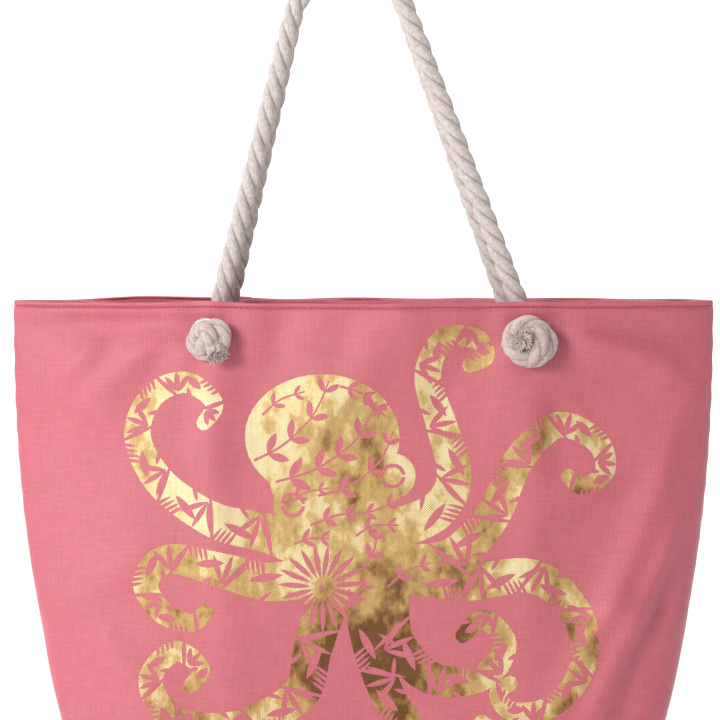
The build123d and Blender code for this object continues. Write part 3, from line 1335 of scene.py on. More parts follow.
    def finish(self, piece: Piece, slot: str, flat: tuple[float, float]) -> Piece:
        """Args:
            piece: The sheet.
            slot: Not used.
            flat: Not used.

        Returns:
            The same piece.
        """
        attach(piece, "bag")
        return piece

    def build(self) -> list[Piece]:
        """Make every piece of outer cloth.

        Returns:
            The pieces.
        """
        made = [self.base()]
        for side in Side:
            made += [self.panel(side), self.facing(side), self.stitching(side)]
        return made


@dataclass
class Lining:
    """The thin lining inside, its bottom and the flat pocket on its back."""

    form: BagForm
    walls: ClothWalls
    cloth: Finish
    board: Finish
    offset: float = -3.5 * MM
    thickness: float = 0.35 * MM
    top_drop: float = 39 * MM
    floor: float = 4.2 * MM
    floor_inset: float = 4.4 * MM
    pocket_hem: float = 11 * MM

    def wall(self, side: Side) -> Piece:
        """One wall of the lining, reaching up under the facing's edge.

        Args:
            side: Which wall.

        Returns:
            The lining's wall.
        """
        top = self.form.height - self.top_drop
        rows = [r for r, z in enumerate(self.form.rows) if self.floor <= z < top]
        path = [(row, self.offset, 0.0) for row in rows]
        piece = self.walls.sheet(f"{side.word}_lining_cloth", side, path)
        piece.data.flip_normals()
        piece.data.materials[0] = self.cloth
        self.walls.thicken(piece, self.thickness)
        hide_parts(f"{side.word}_lining")
        return self.walls.finish(piece, "lining", flat=(0.55, 0.34))

    def bottom(self) -> Piece:
        """The lining over the base board.

        Returns:
            The lining's bottom.
        """
        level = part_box("base_lining")[1].z
        x, y = self.form.outline(self.floor, self.form.columns, self.floor_inset)
        halves = [np.stack([x, side.value * y, np.full_like(x, level)], axis=1) for side in Side]
        shares = (1.0, 0.97, 0.85, 0.6, 0.3, 0.05)
        piece = self.walls.oval("base_lining_cloth", halves, shares, level, self.cloth, facing=1)
        self.walls.thicken(piece, self.thickness)
        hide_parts("base_lining")
        return self.walls.finish(piece, "lining", flat=(0.415, 0.143))

    def pocket(self) -> Piece:
        """The flat pocket on the back lining, with a turned hem along its top.

        Returns:
            The pocket.
        """
        low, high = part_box("slip_pocket")
        xs = np.linspace(low.x, high.x, 41)
        hem_line = high.z - self.pocket_hem
        zs = np.concatenate([np.linspace(low.z, hem_line - MM, 26), np.linspace(hem_line, high.z, 9)])
        xx, zz = np.meshgrid(xs, zs)
        places, normals, uvs = self.form.at(Side.BACK, xx.ravel(), zz.ravel())
        rise = (zz.ravel() - low.z) / (high.z - low.z)
        bag_out = 1.6 * MM * np.sin(np.pi * (xx.ravel() - low.x) / (high.x - low.x)) * rise**2
        hem = 0.4 * MM * (zz.ravel() > hem_line)
        stitch = -0.3 * MM * swell(zz.ravel() - hem_line, MM)
        places = places + normals * (self.offset - 0.8 * MM - bag_out - hem - stitch)[:, None]
        bm = bmesh.new()
        grid_into(bm, places.reshape(*xx.shape, 3), uvs.reshape(*xx.shape, 2))
        piece = new_piece("slip_pocket_cloth", bm, self.cloth)
        self.walls.turn(piece, Side.FRONT)
        self.walls.thicken(piece, 0.4 * MM)
        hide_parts("slip_pocket")
        return self.walls.finish(piece, "lining", flat=(0.20, 0.135))

    def stiffener(self) -> Piece:
        """The base board, which stays as the frame has it.

        Returns:
            The frame's own node, with its finish on.
        """
        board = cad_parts["base_board"]
        board.data.materials.clear()
        board.data.materials.append(self.board)
        return board

    def build(self) -> list[Piece]:
        """Make every piece of the lining."""
        return [self.wall(Side.FRONT), self.wall(Side.BACK), self.bottom(), self.pocket(), self.stiffener()]


# ---------------------------------------------------------------- the foil octopus


def flowing(points: Sequence[tuple[float, float]], steps: int = 7) -> np.ndarray:
    """A smooth line through the points of an arm or a stem.

    Args:
        points: The points it passes, in millimetres on the panel.
        steps: Stations on each span.

    Returns:
        The stations.
    """
    table = np.array(points, float)
    spots = np.linspace(0, len(table) - 1, (len(table) - 1) * steps + 1)
    return resample(table, spots, 0.0, float(len(table) - 1))


def pointing(angle: float) -> np.ndarray:
    """The unit direction at an angle."""
    return np.array([math.cos(angle), math.sin(angle)])


def band(line: np.ndarray, width: Callable[[float], float]) -> Outline:
    """A closed outline along a line.

    Args:
        line: The middle line's stations.
        width: Full width at a share of the way along, 0 to 1.

    Returns:
        The outline.
    """
    tangent = np.gradient(line, axis=0)
    tangent /= np.maximum(np.linalg.norm(tangent, axis=1, keepdims=True), 1e-9)
    normal = np.stack([-tangent[:, 1], tangent[:, 0]], axis=1)
    length = travel(line)
    half = np.array([width(share) / 2 for share in length / length[-1]])[:, None]
    left, right = line + normal * half, line - normal * half
    end, reach = math.atan2(tangent[-1][1], tangent[-1][0]), half[-1][0]
    cap = [line[-1] + reach * pointing(end + turn) for turn in (1.0, 0.35, -0.35, -1.0)]
    return [tuple(p) for p in (*left, *cap, *right[::-1])]


def leaf(centre: Sequence[float], angle: float, length: float, width: float) -> Outline:
    """A pointed leaf.

    Args:
        centre: Its middle.
        angle: Which way it points, in radians.
        length: From tip to tip.
        width: At its middle.

    Returns:
        The outline.
    """
    shares = np.linspace(0, 1, 8)
    along = (shares - 0.5) * length
    half = width / 2 * np.sin(np.pi * shares) ** 0.8
    half[0] = half[-1] = 0.0
    points = [(a, h) for a, h in zip(along, half)] + [(a, -h) for a, h in zip(along[-2:0:-1], half[-2:0:-1])]
    turn = np.array([[math.cos(angle), -math.sin(angle)], [math.sin(angle), math.cos(angle)]])
    return [tuple(turn @ np.array(p) + np.array(centre)) for p in points]


def within(places: np.ndarray, outline: np.ndarray) -> np.ndarray:
    """Which places an outline goes round, even where it crosses itself.

    Args:
        places: Points to test.
        outline: The outline's points.

    Returns:
        True for each point inside.
    """
    low, high = outline.min(axis=0), outline.max(axis=0)
    near = np.all((places > low) & (places < high), axis=1)
    inside = np.zeros(len(places), bool)
    start = outline[None] - places[near][:, None]
    end = np.roll(start, -1, axis=1)
    turn = np.arctan2(start[..., 0] * end[..., 1] - start[..., 1] * end[..., 0], (start * end).sum(axis=2))
    inside[near] = np.abs(turn.sum(axis=1)) > math.pi
    return inside


def rounded(centre: Sequence[float], radii: Sequence[float], count: int = 40) -> Outline:
    """An ellipse."""
    angles = np.linspace(0, 2 * math.pi, count, endpoint=False)
    return [(centre[0] + radii[0] * math.cos(a), centre[1] + radii[1] * math.sin(a)) for a in angles]


@dataclass
class FoilOctopus:
    """The printed octopus: a mantle, a body and eight curled arms, with leaves cut out of the foil."""

    form: BagForm
    film: Finish
    lift: float = 0.16 * MM
    film_thickness: float = 0.10 * MM
    mesh_step: float = 4.0
    root_width: float = 31.0
    tip_width: float = 11.0
    eyes: tuple[tuple[float, float], ...] = ((-53.0, 229.0), (22.0, 251.0))
    flower: tuple[float, float] = (-31.0, 168.0)
    arms: tuple[tuple[tuple[float, float], ...], ...] = (
        ((-40, 196), (-72, 208), (-112, 218), (-151, 243), (-170, 278),
         (-160, 309), (-134, 320), (-112, 305), (-120, 290)),
        ((-40, 176), (-72, 172), (-110, 182), (-148, 188), (-164, 170),
         (-152, 149), (-130, 141), (-118, 150)),
        ((-25, 165), (-38, 122), (-48, 88), (-92, 66), (-140, 68),
         (-160, 98), (-142, 120), (-122, 108), (-130, 94)),
        ((20, 210), (54, 224), (68, 250), (58, 290), (48, 326), (60, 352), (84, 353), (92, 340), (80, 333)),
        ((30, 184), (66, 190), (96, 220), (116, 262), (146, 288),
         (176, 276), (182, 254), (166, 242), (154, 250)),
        ((25, 180), (78, 172), (128, 176), (160, 148), (164, 108),
         (142, 80), (112, 76), (100, 88), (110, 97)),
        ((18, 168), (24, 128), (52, 100), (90, 102), (106, 126), (90, 144), (74, 132)),
        ((0, 160), (8, 116), (24, 78), (54, 50), (84, 42), (98, 56), (88, 68)),
    )

    # Pairs of leaves, a leaf's length and the stem's line.
    sprigs: tuple[tuple, ...] = (
        (4, 15, (-82, 262), (-60, 274), (-38, 296), (-26, 322)),
        (5, 16, (-66, 246), (-36, 256), (-6, 278), (10, 306)),
        (3, 12, (-34, 236), (-10, 244), (12, 262), (22, 284)),
        (4, 10, (-40, 214), (-18, 222), (4, 224), (24, 232)),
        (2, 10, (0, 182), (8, 196), (10, 208)),
        (2, 10, (18, 168), (32, 180), (50, 186)),
        (2, 9, (-76, 296), (-62, 308), (-44, 314)),
        (3, 9, (-18, 318), (0, 312), (16, 296)),
        (2, 8, (-58, 228), (-44, 238), (-26, 242)),
        (2, 9, (-52, 200), (-40, 204), (-26, 204)),
        (2, 9, (-14, 150), (-6, 162), (4, 172)),
        (2, 9, (-6, 206), (8, 214), (26, 214)),
    )

    def bodies(self) -> list[Outline]:
        """Outlines that hold foil.

        Returns:
            The body's outlines, then the arms'.
        """
        shapes = [
            rounded((-31, 280), (58, 47)),
            rounded((-20, 246), (50, 32)),
            rounded((-12, 212), (40, 34)),
            rounded((-9, 182), (50, 36)),
            rounded(self.eyes[0], (15, 15), 24),
            rounded(self.eyes[1], (17, 17), 24),
        ]
        return shapes + [band(flowing(arm), self.arm_width) for arm in self.arms]

    def arm_width(self, share: float) -> float:
        """An arm's full width at a share of the way from its root to its tip."""
        return self.tip_width + (self.root_width - self.tip_width) * (1 - share) ** 0.8

    def arm_cuts(self, arm: Sequence[tuple[float, float]], number: int) -> list[Outline]:
        """Leaves and slits cut along one arm.

        Args:
            arm: The arm's middle line.
            number: Which arm it is, so that neighbours differ.

        Returns:
            The cut outlines.
        """
        line = flowing(arm, 16)
        length = travel(line)
        cuts, spot, step = [], 34.0, 0
        while spot < length[-1] - 4:
            here = np.array([np.interp(spot, length, line[:, k]) for k in range(2)])
            ahead = np.array([np.interp(spot + 2, length, line[:, k]) for k in range(2)])
            heading = math.atan2(*(ahead - here)[::-1])
            width = self.arm_width(spot / length[-1])
            side = 1 if (step + number) % 2 else -1
            out = np.array([-math.sin(heading), math.cos(heading)]) * side
            kind = (step + 2 * number) % 4
            if kind == 0:
                cuts.append(leaf(here, heading + 1.1 * side, width * 1.6, 3.6))
            elif kind == 1:
                for turn in (-0.75, -0.1, 0.55):
                    lean = math.atan2(*out[::-1]) + turn
                    reach = width * 0.46
                    middle = here - out * width * 0.40 + pointing(lean) * reach
                    cuts.append(leaf(middle, lean, 2 * reach, 4.2))
            elif kind == 2:
                cuts.append(leaf(here - out * width * 0.10, heading + 0.3 * side, width * 0.95, 6.2))
                cuts.append(leaf(here + out * width * 0.46, heading + 0.8 * side, width * 0.6, 3.4))
            else:
                for slide in (-6.0, -2.0, 2.0, 6.0):
                    middle = here + pointing(heading) * slide + out * width * 0.42
                    cuts.append(leaf(middle, heading + 1.15 * side, width * 0.72, 2.7))
            spot += (8.0, 13.0, 11.0, 12.0)[kind]
            step += 1
        return cuts

    def sprig(self, stem: Sequence[tuple[float, float]], leaves: int, size: float) -> list[Outline]:
        """A cut stem with leaves on both sides.

        Args:
            stem: The stem's line.
            leaves: How many pairs of leaves.
            size: A leaf's length.

        Returns:
            The cut outlines.
        """
        line = flowing(stem, 10)
        cuts = [band(line, lambda share: 2.0 - 0.8 * share)]
        for number in range(leaves):
            spot = (number + 0.8) / (leaves + 0.3) * (len(line) - 1)
            first = int(spot)
            here = line[first]
            heading = math.atan2(*(line[min(first + 1, len(line) - 1)] - line[max(first - 1, 0)])[::-1])
            scale = size * (1 - 0.35 * number / leaves)
            for side in (-1, 1):
                lean = heading + side * 0.72
                middle = here + pointing(lean) * scale * 0.62
                cuts.append(leaf(middle, lean, scale * 1.12, scale * 0.42))
        return cuts

    def body_cuts(self) -> list[Outline]:
        """Leaves, eyes and the radiating flower cut from the mantle and the body.

        Returns:
            The cut outlines.
        """
        cuts = []
        for leaves, size, *stem in self.sprigs:
            cuts += self.sprig(stem, leaves, size)
        for x, z in self.eyes:
            for start in (0, 1):
                angles = np.linspace(math.pi * start + 0.12, math.pi * (start + 1) - 0.12, 12)
                outer = [(x + 9.4 * math.cos(a), z + 9.4 * math.sin(a)) for a in angles]
                inner = [(x + 6.6 * math.cos(a), z + 6.6 * math.sin(a)) for a in angles[::-1]]
                cuts.append(outer + inner)
        petals = 19
        for number in range(petals):
            angle = 2 * math.pi * number / petals + 0.1
            reach = 20.5 + 1.5 * math.sin(3 * angle)
            middle = (self.flower[0] + reach * math.cos(angle), self.flower[1] + reach * math.sin(angle))
            cuts.append(leaf(middle, angle, 25, 4.0))
        cuts.append(rounded(self.flower, (2.0, 2.0), 12))
        return cuts

    def build(self) -> Piece:
        """Cut the foil, lay it on the front panel and give it its thickness.

        Returns:
            The foil.
        """
        shapes = self.bodies()
        foil_count = len(shapes)
        shapes += self.body_cuts()
        for number, arm in enumerate(self.arms):
            shapes += self.arm_cuts(arm, number)
        points, loops = [], []
        for shape in shapes:
            loops.append(list(range(len(points), len(points) + len(shape))))
            points += shape
        edges = []
        low, high = np.min(points, axis=0) - 1, np.max(points, axis=0) + 1
        for axis in (0, 1):
            for place in np.arange(low[axis], high[axis], self.mesh_step):
                start, end = (place, low[1]), (place, high[1])
                if axis:
                    start, end = (low[0], place), (high[0], place)
                edges.append((len(points), len(points) + 1))
                points += [start, end]
        verts, _, faces, _, _, _ = delaunay_2d_cdt([Vector(p) for p in points], edges, loops, 0, 1e-4, True)
        flat = np.array(verts)
        middles = flat[np.array(faces)].mean(axis=1)
        foil, cut = np.zeros(len(faces), bool), np.zeros(len(faces), bool)
        for number, shape in enumerate(shapes):
            inside = within(middles, np.array(shape))
            if number < foil_count:
                foil |= inside
            else:
                cut |= inside
        kept = [face for face, shown in zip(faces, foil & ~cut) if shown]
        flat = flat * MM
        places, normals, uvs = self.form.at(Side.FRONT, flat[:, 0], flat[:, 1])
        places = places + normals * self.lift
        bm = bmesh.new()
        layer = bm.loops.layers.uv.new("weave")
        corners = {}
        for face in kept:
            for index in face:
                if index not in corners:
                    corners[index] = bm.verts.new(places[index])
            made = bm.faces.new([corners[index] for index in face])
            for loop, index in zip(made.loops, face):
                loop[layer].uv = uvs[index]
        bm.normal_update()
        if sum(face.normal.y for face in bm.faces) > 0:
            bmesh.ops.reverse_faces(bm, faces=bm.faces)
        for edge in bm.edges:
            edge.smooth = not edge.is_boundary
        piece = new_piece("foil_octopus", bm, self.film)
        solid = piece.modifiers.new("film", "SOLIDIFY")
        solid.thickness = self.film_thickness
        solid.offset = -1.0
        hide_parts("foil_print")
        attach(piece, "bag")
        return piece


# ---------------------------------------------------------------- eyelets, ropes and knots


@dataclass
class Eyelet:
    """A pressed eyelet: its domed flange and barrel outside, and its washer inside."""

    form: BagForm
    metal: Finish
    side: Side
    hand: Hand
    hole: float = 8.0 * MM
    barrel: float = 8.8 * MM
    flange: float = 13.5 * MM
    steps: int = 56

    @property
    def leg(self) -> str:
        """The leg's name in the frame."""
        return f"{self.side.word}_{self.hand.word}"

    def turned(self, name: str, profile: Sequence[tuple[float, float]]) -> Piece:
        """Spin a closed profile about the eyelet's axis.

        Args:
            name: The piece's name.
            profile: Radius and height of each point.

        Returns:
            The turned piece.
        """
        centre, out = self.form.seat(self.side, f"{self.leg}_eyelet")
        across = out.orthogonal().normalized()
        bm = bmesh.new()
        verts = [bm.verts.new(centre + across * radius + out * height) for radius, height in profile]
        edges = [bm.edges.new(pair) for pair in zip(verts, verts[1:] + verts[:1])]
        bmesh.ops.spin(bm, geom=verts + edges, cent=centre, axis=out, angle=2 * math.pi,
                       steps=self.steps, use_merge=True)
        bmesh.ops.remove_doubles(bm, verts=bm.verts, dist=WELD)
        facing_out(bm)
        piece = new_piece(name, bm, self.metal)
        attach(piece, "bag")
        return piece

    def build(self) -> list[Piece]:
        """Make the eyelet and its washer.

        Returns:
            The eyelet, then the washer.
        """
        dome = []
        for step in range(9):
            angle = math.pi * step / 8
            radius = (self.hole + self.flange) / 2 + (self.flange - self.hole) / 2 * math.cos(angle)
            dome.append((radius, 0.25 * MM + 1.5 * MM * math.sin(angle) ** 0.7))
        inside = -3.4 * MM
        curl = [
            (self.hole, inside),
            (self.hole + 0.4 * MM, inside - 0.7 * MM),
            (self.barrel + 1.2 * MM, inside - 0.9 * MM),
            (self.barrel + 1.8 * MM, inside - 0.3 * MM),
            (self.barrel, inside),
            (self.barrel, 0.1 * MM),
        ]
        eyelet = self.turned(f"{self.leg}_eyelet_metal", [*dome, *curl])
        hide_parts(f"{self.leg}_eyelet")
        ring = [
            (9.2 * MM, inside + 0.2 * MM),
            (9.2 * MM, inside - 0.3 * MM),
            (12.2 * MM, inside - 0.35 * MM),
            (12.7 * MM, inside - 0.05 * MM),
            (12.4 * MM, inside + 0.25 * MM),
        ]
        washer = self.turned(f"{self.leg}_washer_metal", ring)
        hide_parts(f"{self.leg}_washer")
        return [eyelet, washer]


def frames_along(line: np.ndarray) -> tuple[np.ndarray, np.ndarray, np.ndarray, np.ndarray]:
    """Frames that do not twist along a line.

    Args:
        line: The stations.

    Returns:
        Tangents, the two cross directions, and the distance travelled at each station.
    """
    tangent = np.gradient(line, axis=0)
    tangent /= np.linalg.norm(tangent, axis=1, keepdims=True)
    first = Vector(tangent[0]).orthogonal().normalized()
    across = [np.array(first)]
    for before, after in zip(tangent, tangent[1:]):
        turn = Vector(before).rotation_difference(Vector(after))
        moved = turn @ Vector(across[-1])
        moved -= Vector(after) * moved.dot(Vector(after))
        across.append(np.array(moved.normalized()))
    across = np.array(across)
    travelled = travel(line)
    return tangent, across, np.cross(tangent, across), travelled


@dataclass
class LaidRope:
    """Three soft strands laid left-handed round a line."""

    material: Finish
    diameter: float = 15 * MM
    pitch: float = 47 * MM
    strand_radius: float = 3.85 * MM
    strand_offset: float = 3.75 * MM
    around: int = 20
    spacing: float = 2.2 * MM

    def stations(self, line: np.ndarray, spacing: float | None = None) -> np.ndarray:
        """Even stations along a line.

        Args:
            line: Points read from a route's spline.
            spacing: Distance between stations, or None for the rope's own.

        Returns:
            The stations.
        """
        length = travel(line)
        count = max(int(length[-1] / (spacing or self.spacing)), 8)
        wanted = np.linspace(0, length[-1], count)
        return np.stack([np.interp(wanted, length, line[:, k]) for k in range(3)], axis=1)

    def lay(self, bm: Mesh, line: np.ndarray, start_turn: float = 0.0, scale: float = 1.0) -> None:
        """Add the three strands to a mesh.

        Args:
            bm: The mesh.
            line: The rope's middle line.
            start_turn: Angle of the first strand where the rope starts.
            scale: Thickness against the free rope's.
        """
        line = self.stations(line, self.spacing * (0.6 if scale < 1 else 1.0))
        _, across, other, travelled = frames_along(line)
        turns = np.linspace(0, 2 * math.pi, self.around + 1)
        squash = 1 + 0.06 * np.cos(2 * turns + math.pi)
        for strand in range(3):
            angle = start_turn + 2 * math.pi * strand / 3 - 2 * math.pi * travelled / (self.pitch * scale)
            out = across * np.cos(angle)[:, None] + other * np.sin(angle)[:, None]
            slow_swell = 0.035 * np.sin(travelled / (8.3 * MM) + 2.1 * strand)
            soft = 1 + slow_swell + 0.02 * np.sin(travelled / (3.1 * MM))
            middle = line + out * self.strand_offset * scale
            along = np.gradient(middle, axis=0)
            along /= np.linalg.norm(along, axis=1, keepdims=True)
            radial = out - along * np.sum(out * along, axis=1, keepdims=True)
            radial /= np.linalg.norm(radial, axis=1, keepdims=True)
            sideways = np.cross(along, radial)
            radius = (self.strand_radius * scale * soft)[:, None] * squash[None, :]
            tube_into(bm, middle, (radial, sideways), turns, radius, travelled)

    def close(self, bm: Mesh) -> None:
        """Fill the strands' open ends and turn the faces outward."""
        bmesh.ops.holes_fill(bm, edges=[e for e in bm.edges if e.is_boundary], sides=0)
        facing_out(bm)


@dataclass
class RopeHandle:
    """One handle: the rope from an eyelet up over the rim, round its loop and down to the other eyelet."""

    side: Side
    rope: LaidRope
    knots: list[Piece]
    fold_below: float = 7 * MM
    fold_above: float = 17 * MM

    FRONT_ROUTE = (
        (-0.1181, -0.0358, 0.3562),
        (-0.1172, -0.0230, 0.3546),
        (-0.1131, -0.0122, 0.3640),
        (-0.1090, -0.0120, 0.3800),
        (-0.0584, -0.0091, 0.5766),
        (-0.0484, -0.0085, 0.6153),
        (-0.0129, -0.0085, 0.6337),
        (0.0245, -0.0085, 0.6195),
        (0.0389, -0.0090, 0.5822),
        (0.1170, -0.0120, 0.3800),
        (0.1229, -0.0122, 0.3646),
        (0.1261, -0.0223, 0.3546),
        (0.1271, -0.0351, 0.3562),
    )
    BACK_ROUTE = (
        (-0.1111, 0.0363, 0.3562),
        (-0.1103, 0.0235, 0.3546),
        (-0.1057, 0.0122, 0.3639),
        (-0.1020, 0.0120, 0.3800),
        (-0.0573, 0.0091, 0.5763),
        (-0.0484, 0.0085, 0.6153),
        (-0.0129, 0.0085, 0.6337),
        (0.0245, 0.0085, 0.6195),
        (0.0377, 0.0091, 0.5817),
        (0.1080, 0.0120, 0.3800),
        (0.1134, 0.0122, 0.3644),
        (0.1172, 0.0230, 0.3546),
        (0.1181, 0.0358, 0.3562),
    )

    def line(self) -> np.ndarray:
        """The rope's middle line, read from the route's spline.

        Returns:
            The line's points, in metres.
        """
        route = self.FRONT_ROUTE if self.side is Side.FRONT else self.BACK_ROUTE
        curve = bpy.data.curves.new(f"{self.side.word}_route", "CURVE")
        curve.dimensions = "3D"
        curve.resolution_u = 24
        spline = curve.splines.new("NURBS")
        spline.points.add(len(route) - 1)
        for point, place in zip(spline.points, route):
            point.co = (*place, 1.0)
        spline.order_u = 3
        spline.use_endpoint_u = True
        holder = bpy.data.objects.new("route", curve)
        bpy.context.scene.collection.objects.link(holder)
        bpy.context.view_layer.update()
        mesh = bpy.data.meshes.new_from_object(holder)
        points = np.array([v.co for v in mesh.vertices])
        bpy.data.objects.remove(holder, do_unlink=True)
        return points

    def build(self) -> Piece:
        """Make the handle's rope and bend it over the rim.

        Returns:
            The rope.
        """
        line = self.line()
        bm = bmesh.new()
        self.rope.lay(bm, line, start_turn=0.4 if self.side is Side.FRONT else 1.5)
        self.rope.close(bm)
        piece = new_piece(f"{self.side.word}_handle_laid_rope", bm, self.rope.material)
        nodes = [f"{self.side.word}_{hand.word}_rope_end" for hand in Hand]
        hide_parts(f"{self.side.word}_handle_rope", *nodes)
        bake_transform(piece)
        return piece


@dataclass(frozen=True)
class KnotShape:
    """How one knot is tied, in millimetres across, up and out from its eyelet.

    Each turn is a stretch of the rope that shows on the knot, and the tail ends in loose yarns.
    """

    turns: tuple[tuple[Point, ...], ...]
    tail: tuple[Point, ...]
    core: Point
    tube: float
    fray: float
    spread: float

    def mirrored(self, scale: float = 1.0) -> "KnotShape":
        """The same knot tied the other way round.

        Args:
            scale: Its size against this one.

        Returns:
            The mirrored knot.
        """

        def flip(line: tuple[Point, ...]) -> tuple[Point, ...]:
            """Mirror and scale one line, keeping its height over the cloth."""
            return tuple((-x * scale, y * scale, z) for x, y, z in line)

        return KnotShape(tuple(flip(t) for t in self.turns), flip(self.tail), flip((self.core,))[0],
                         self.tube * scale, self.fray, self.spread)


HANGING_TAIL = KnotShape(
    turns=(
        ((3, 9, 7), (-5, 10, 8), (-11, 5, 9), (-12, -2, 10), (-8, -8, 9), (-1, -9, 8)),
        ((-6, 5, 11), (-3, 8, 15), (1, 5, 18), (3, -1, 18), (1, -7, 13)),
        ((-3, 10, 8), (4, 11, 10), (10, 7, 13), (12, 0, 13), (8, -6, 10)),
        ((7, 7, 9), (3, 2, 14), (-3, -2, 16), (-5, -7, 11)),
    ),
    tail=((2, -2, 12), (5.5, -7, 16), (7.5, -11.5, 18)),
    core=(0, 0, 8),
    tube=6.2,
    fray=5.0,
    spread=1.0,
)
FACING_TAIL = KnotShape(
    turns=(
        ((-14, -5, 8), (-13, 5, 12), (-6, 12, 15), (4, 12, 16), (11, 7, 12), (12, 0, 8)),
        ((1, 10, 13), (7, 5, 19), (7, -3, 21), (4, -10, 18), (-2, -14, 11)),
        ((8, 9, 8), (15, 3, 12), (14, -6, 14), (8, -12, 12), (0, -13, 8)),
        ((-13, 0, 9), (-12, -7, 13), (-6, -12, 15), (2, -12, 12)),
    ),
    tail=((2, 2, 12), (-4, 1, 19), (-7.5, 0, 24)),
    core=(0, 0, 9),
    tube=6.9,
    fray=3.4,
    spread=1.5,
)


@dataclass
class Knot:
    """A tight overhand knot outside an eyelet, with the rope's frayed end."""

    form: BagForm
    rope: LaidRope
    side: Side
    hand: Hand
    shape: KnotShape
    shift: Point = (0.0, 0.0, 0.0)
    yarns: int = 110

    @property
    def leg(self) -> str:
        """The leg's name in the frame."""
        return f"{self.side.word}_{self.hand.word}"

    def place(self) -> tuple[Matrix, Vector]:
        """The knot's own axes, across, up and out of the cloth, and where it sits.

        Returns:
            The axes as a matrix's columns, and the point on the cloth.
        """
        seat, out = self.form.seat(self.side, f"{self.leg}_eyelet")
        across = Vector((-self.side.value, 0, 0))
        across = (across - out * across.dot(out)).normalized()
        return Matrix([across, out.cross(across), out]).transposed(), seat

    def laid_along(self, points: Sequence[Point]) -> np.ndarray:
        """A smooth line through points given in the knot's own axes.

        Args:
            points: The points, in millimetres.

        Returns:
            The line's stations, in metres.
        """
        axes, seat = self.place()
        own = (np.array(points, float) + np.array(self.shift)) * MM
        world = np.array([seat + axes @ Vector(point) for point in own])
        return resample(world, np.linspace(0, len(world) - 1, 12 * len(world)), 0.0, len(world) - 1.0)

    def yarn(self, bm: Mesh, points: Sequence[Vector], thick: float) -> None:
        """Add one loose yarn.

        Args:
            bm: The mesh.
            points: Its root, middle and tip.
            thick: Its radius at the root.
        """
        line = resample(np.array(points), np.linspace(0, len(points) - 1, 8), 0.0, len(points) - 1.0)
        _, across, other, travelled = frames_along(line)
        turns = np.linspace(0, 2 * math.pi, 6)
        radius = thick * (1 - 0.5 * travelled / travelled[-1])
        tube_into(bm, line, (across, other), turns, radius[:, None], travelled, share=0.15)

    def loosened(self, bm: Mesh, line: np.ndarray) -> None:
        """Add the loose yarns of the cut end.

        Args:
            bm: The mesh.
            line: The tail's middle line.
        """
        towards = Vector(line[-1] - line[-6]).normalized()
        one = towards.orthogonal().normalized()
        two = towards.cross(one)
        bundle = self.shape.tube * 1.28 * MM
        for number in range(self.yarns):
            turn = number * GOLDEN_TURN + 0.25 * math.sin(number * 5.3)
            share = math.sqrt((number + 0.5) / self.yarns)
            out = one * math.cos(turn) + two * math.sin(turn)
            swing = one * math.sin(3.1 * number) + two * math.cos(4.7 * number)
            length = self.shape.fray * MM * (0.6 + 0.4 * math.sin(number * 1.7) ** 2) * (1 - 0.35 * share**2)
            root = Vector(line[-1]) + out * bundle * share * 0.85
            middle = root + towards * length * 0.55 + out * length * 0.25 * self.shape.spread * share
            tip = middle + towards * length * 0.45 + out * length * 0.7 * self.shape.spread * share
            start = root - towards * 3.5 * MM
            self.yarn(bm, [start, root, middle, tip + swing * length * 0.18], 1.05 * MM)

    def wisps(self, bm: Mesh, line: np.ndarray) -> None:
        """Add a few fine fibres that stand off the knot.

        Args:
            bm: The mesh.
            line: The line that they stand off.
        """
        _, across, other, _ = frames_along(line)
        for number in range(9):
            spot = (number * 7 + 5) % len(line)
            turn = number * 2.1
            out = Vector(across[spot]) * math.cos(turn) + Vector(other[spot]) * math.sin(turn)
            root = Vector(line[spot]) + out * self.shape.tube * 0.95 * MM
            bend = Vector(other[spot]) * (1.1 if number % 2 else -0.9) * MM
            middle = root + out * 1.2 * MM + bend
            tip = root + out * 2.2 * MM + bend * 2.2
            self.yarn(bm, [root - out * MM, root, middle, tip], 0.16 * MM)

    def build(self) -> Piece:
        """Tie the knot.

        Returns:
            The knot.
        """
        bm = bmesh.new()
        axes, seat = self.place()
        scale = self.shape.tube * MM / (self.rope.strand_radius + self.rope.strand_offset)
        for number, turn in enumerate(self.shape.turns):
            line = self.laid_along(turn)
            self.rope.lay(bm, line, start_turn=1.3 * number, scale=scale)
            self.wisps(bm, line)
        core = Matrix.Translation(seat + axes @ (Vector(self.shape.core) * MM))
        inner_radius = self.shape.tube * 1.25 * MM
        made = bmesh.ops.create_icosphere(bm, subdivisions=3, radius=inner_radius, matrix=core)
        # The core's UVs sit at 0.3 round a strand, which puts the whole core in the rope's painted groove
        # shade.
        layer = bm.loops.layers.uv.get("weave")
        for vert in made["verts"]:
            for loop in vert.link_loops:
                loop[layer].uv = (0.3, vert.co.z)
        tail = self.laid_along(self.shape.tail)
        self.rope.lay(bm, tail, start_turn=2.2, scale=scale * 1.05)
        self.loosened(bm, tail)
        self.rope.close(bm)
        piece = new_piece(f"{self.leg}_overhand_knot", bm, self.rope.material)
        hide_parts(f"{self.leg}_knot")
        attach(piece, "bag")
        return piece


# ---------------------------------------------------------------- studio


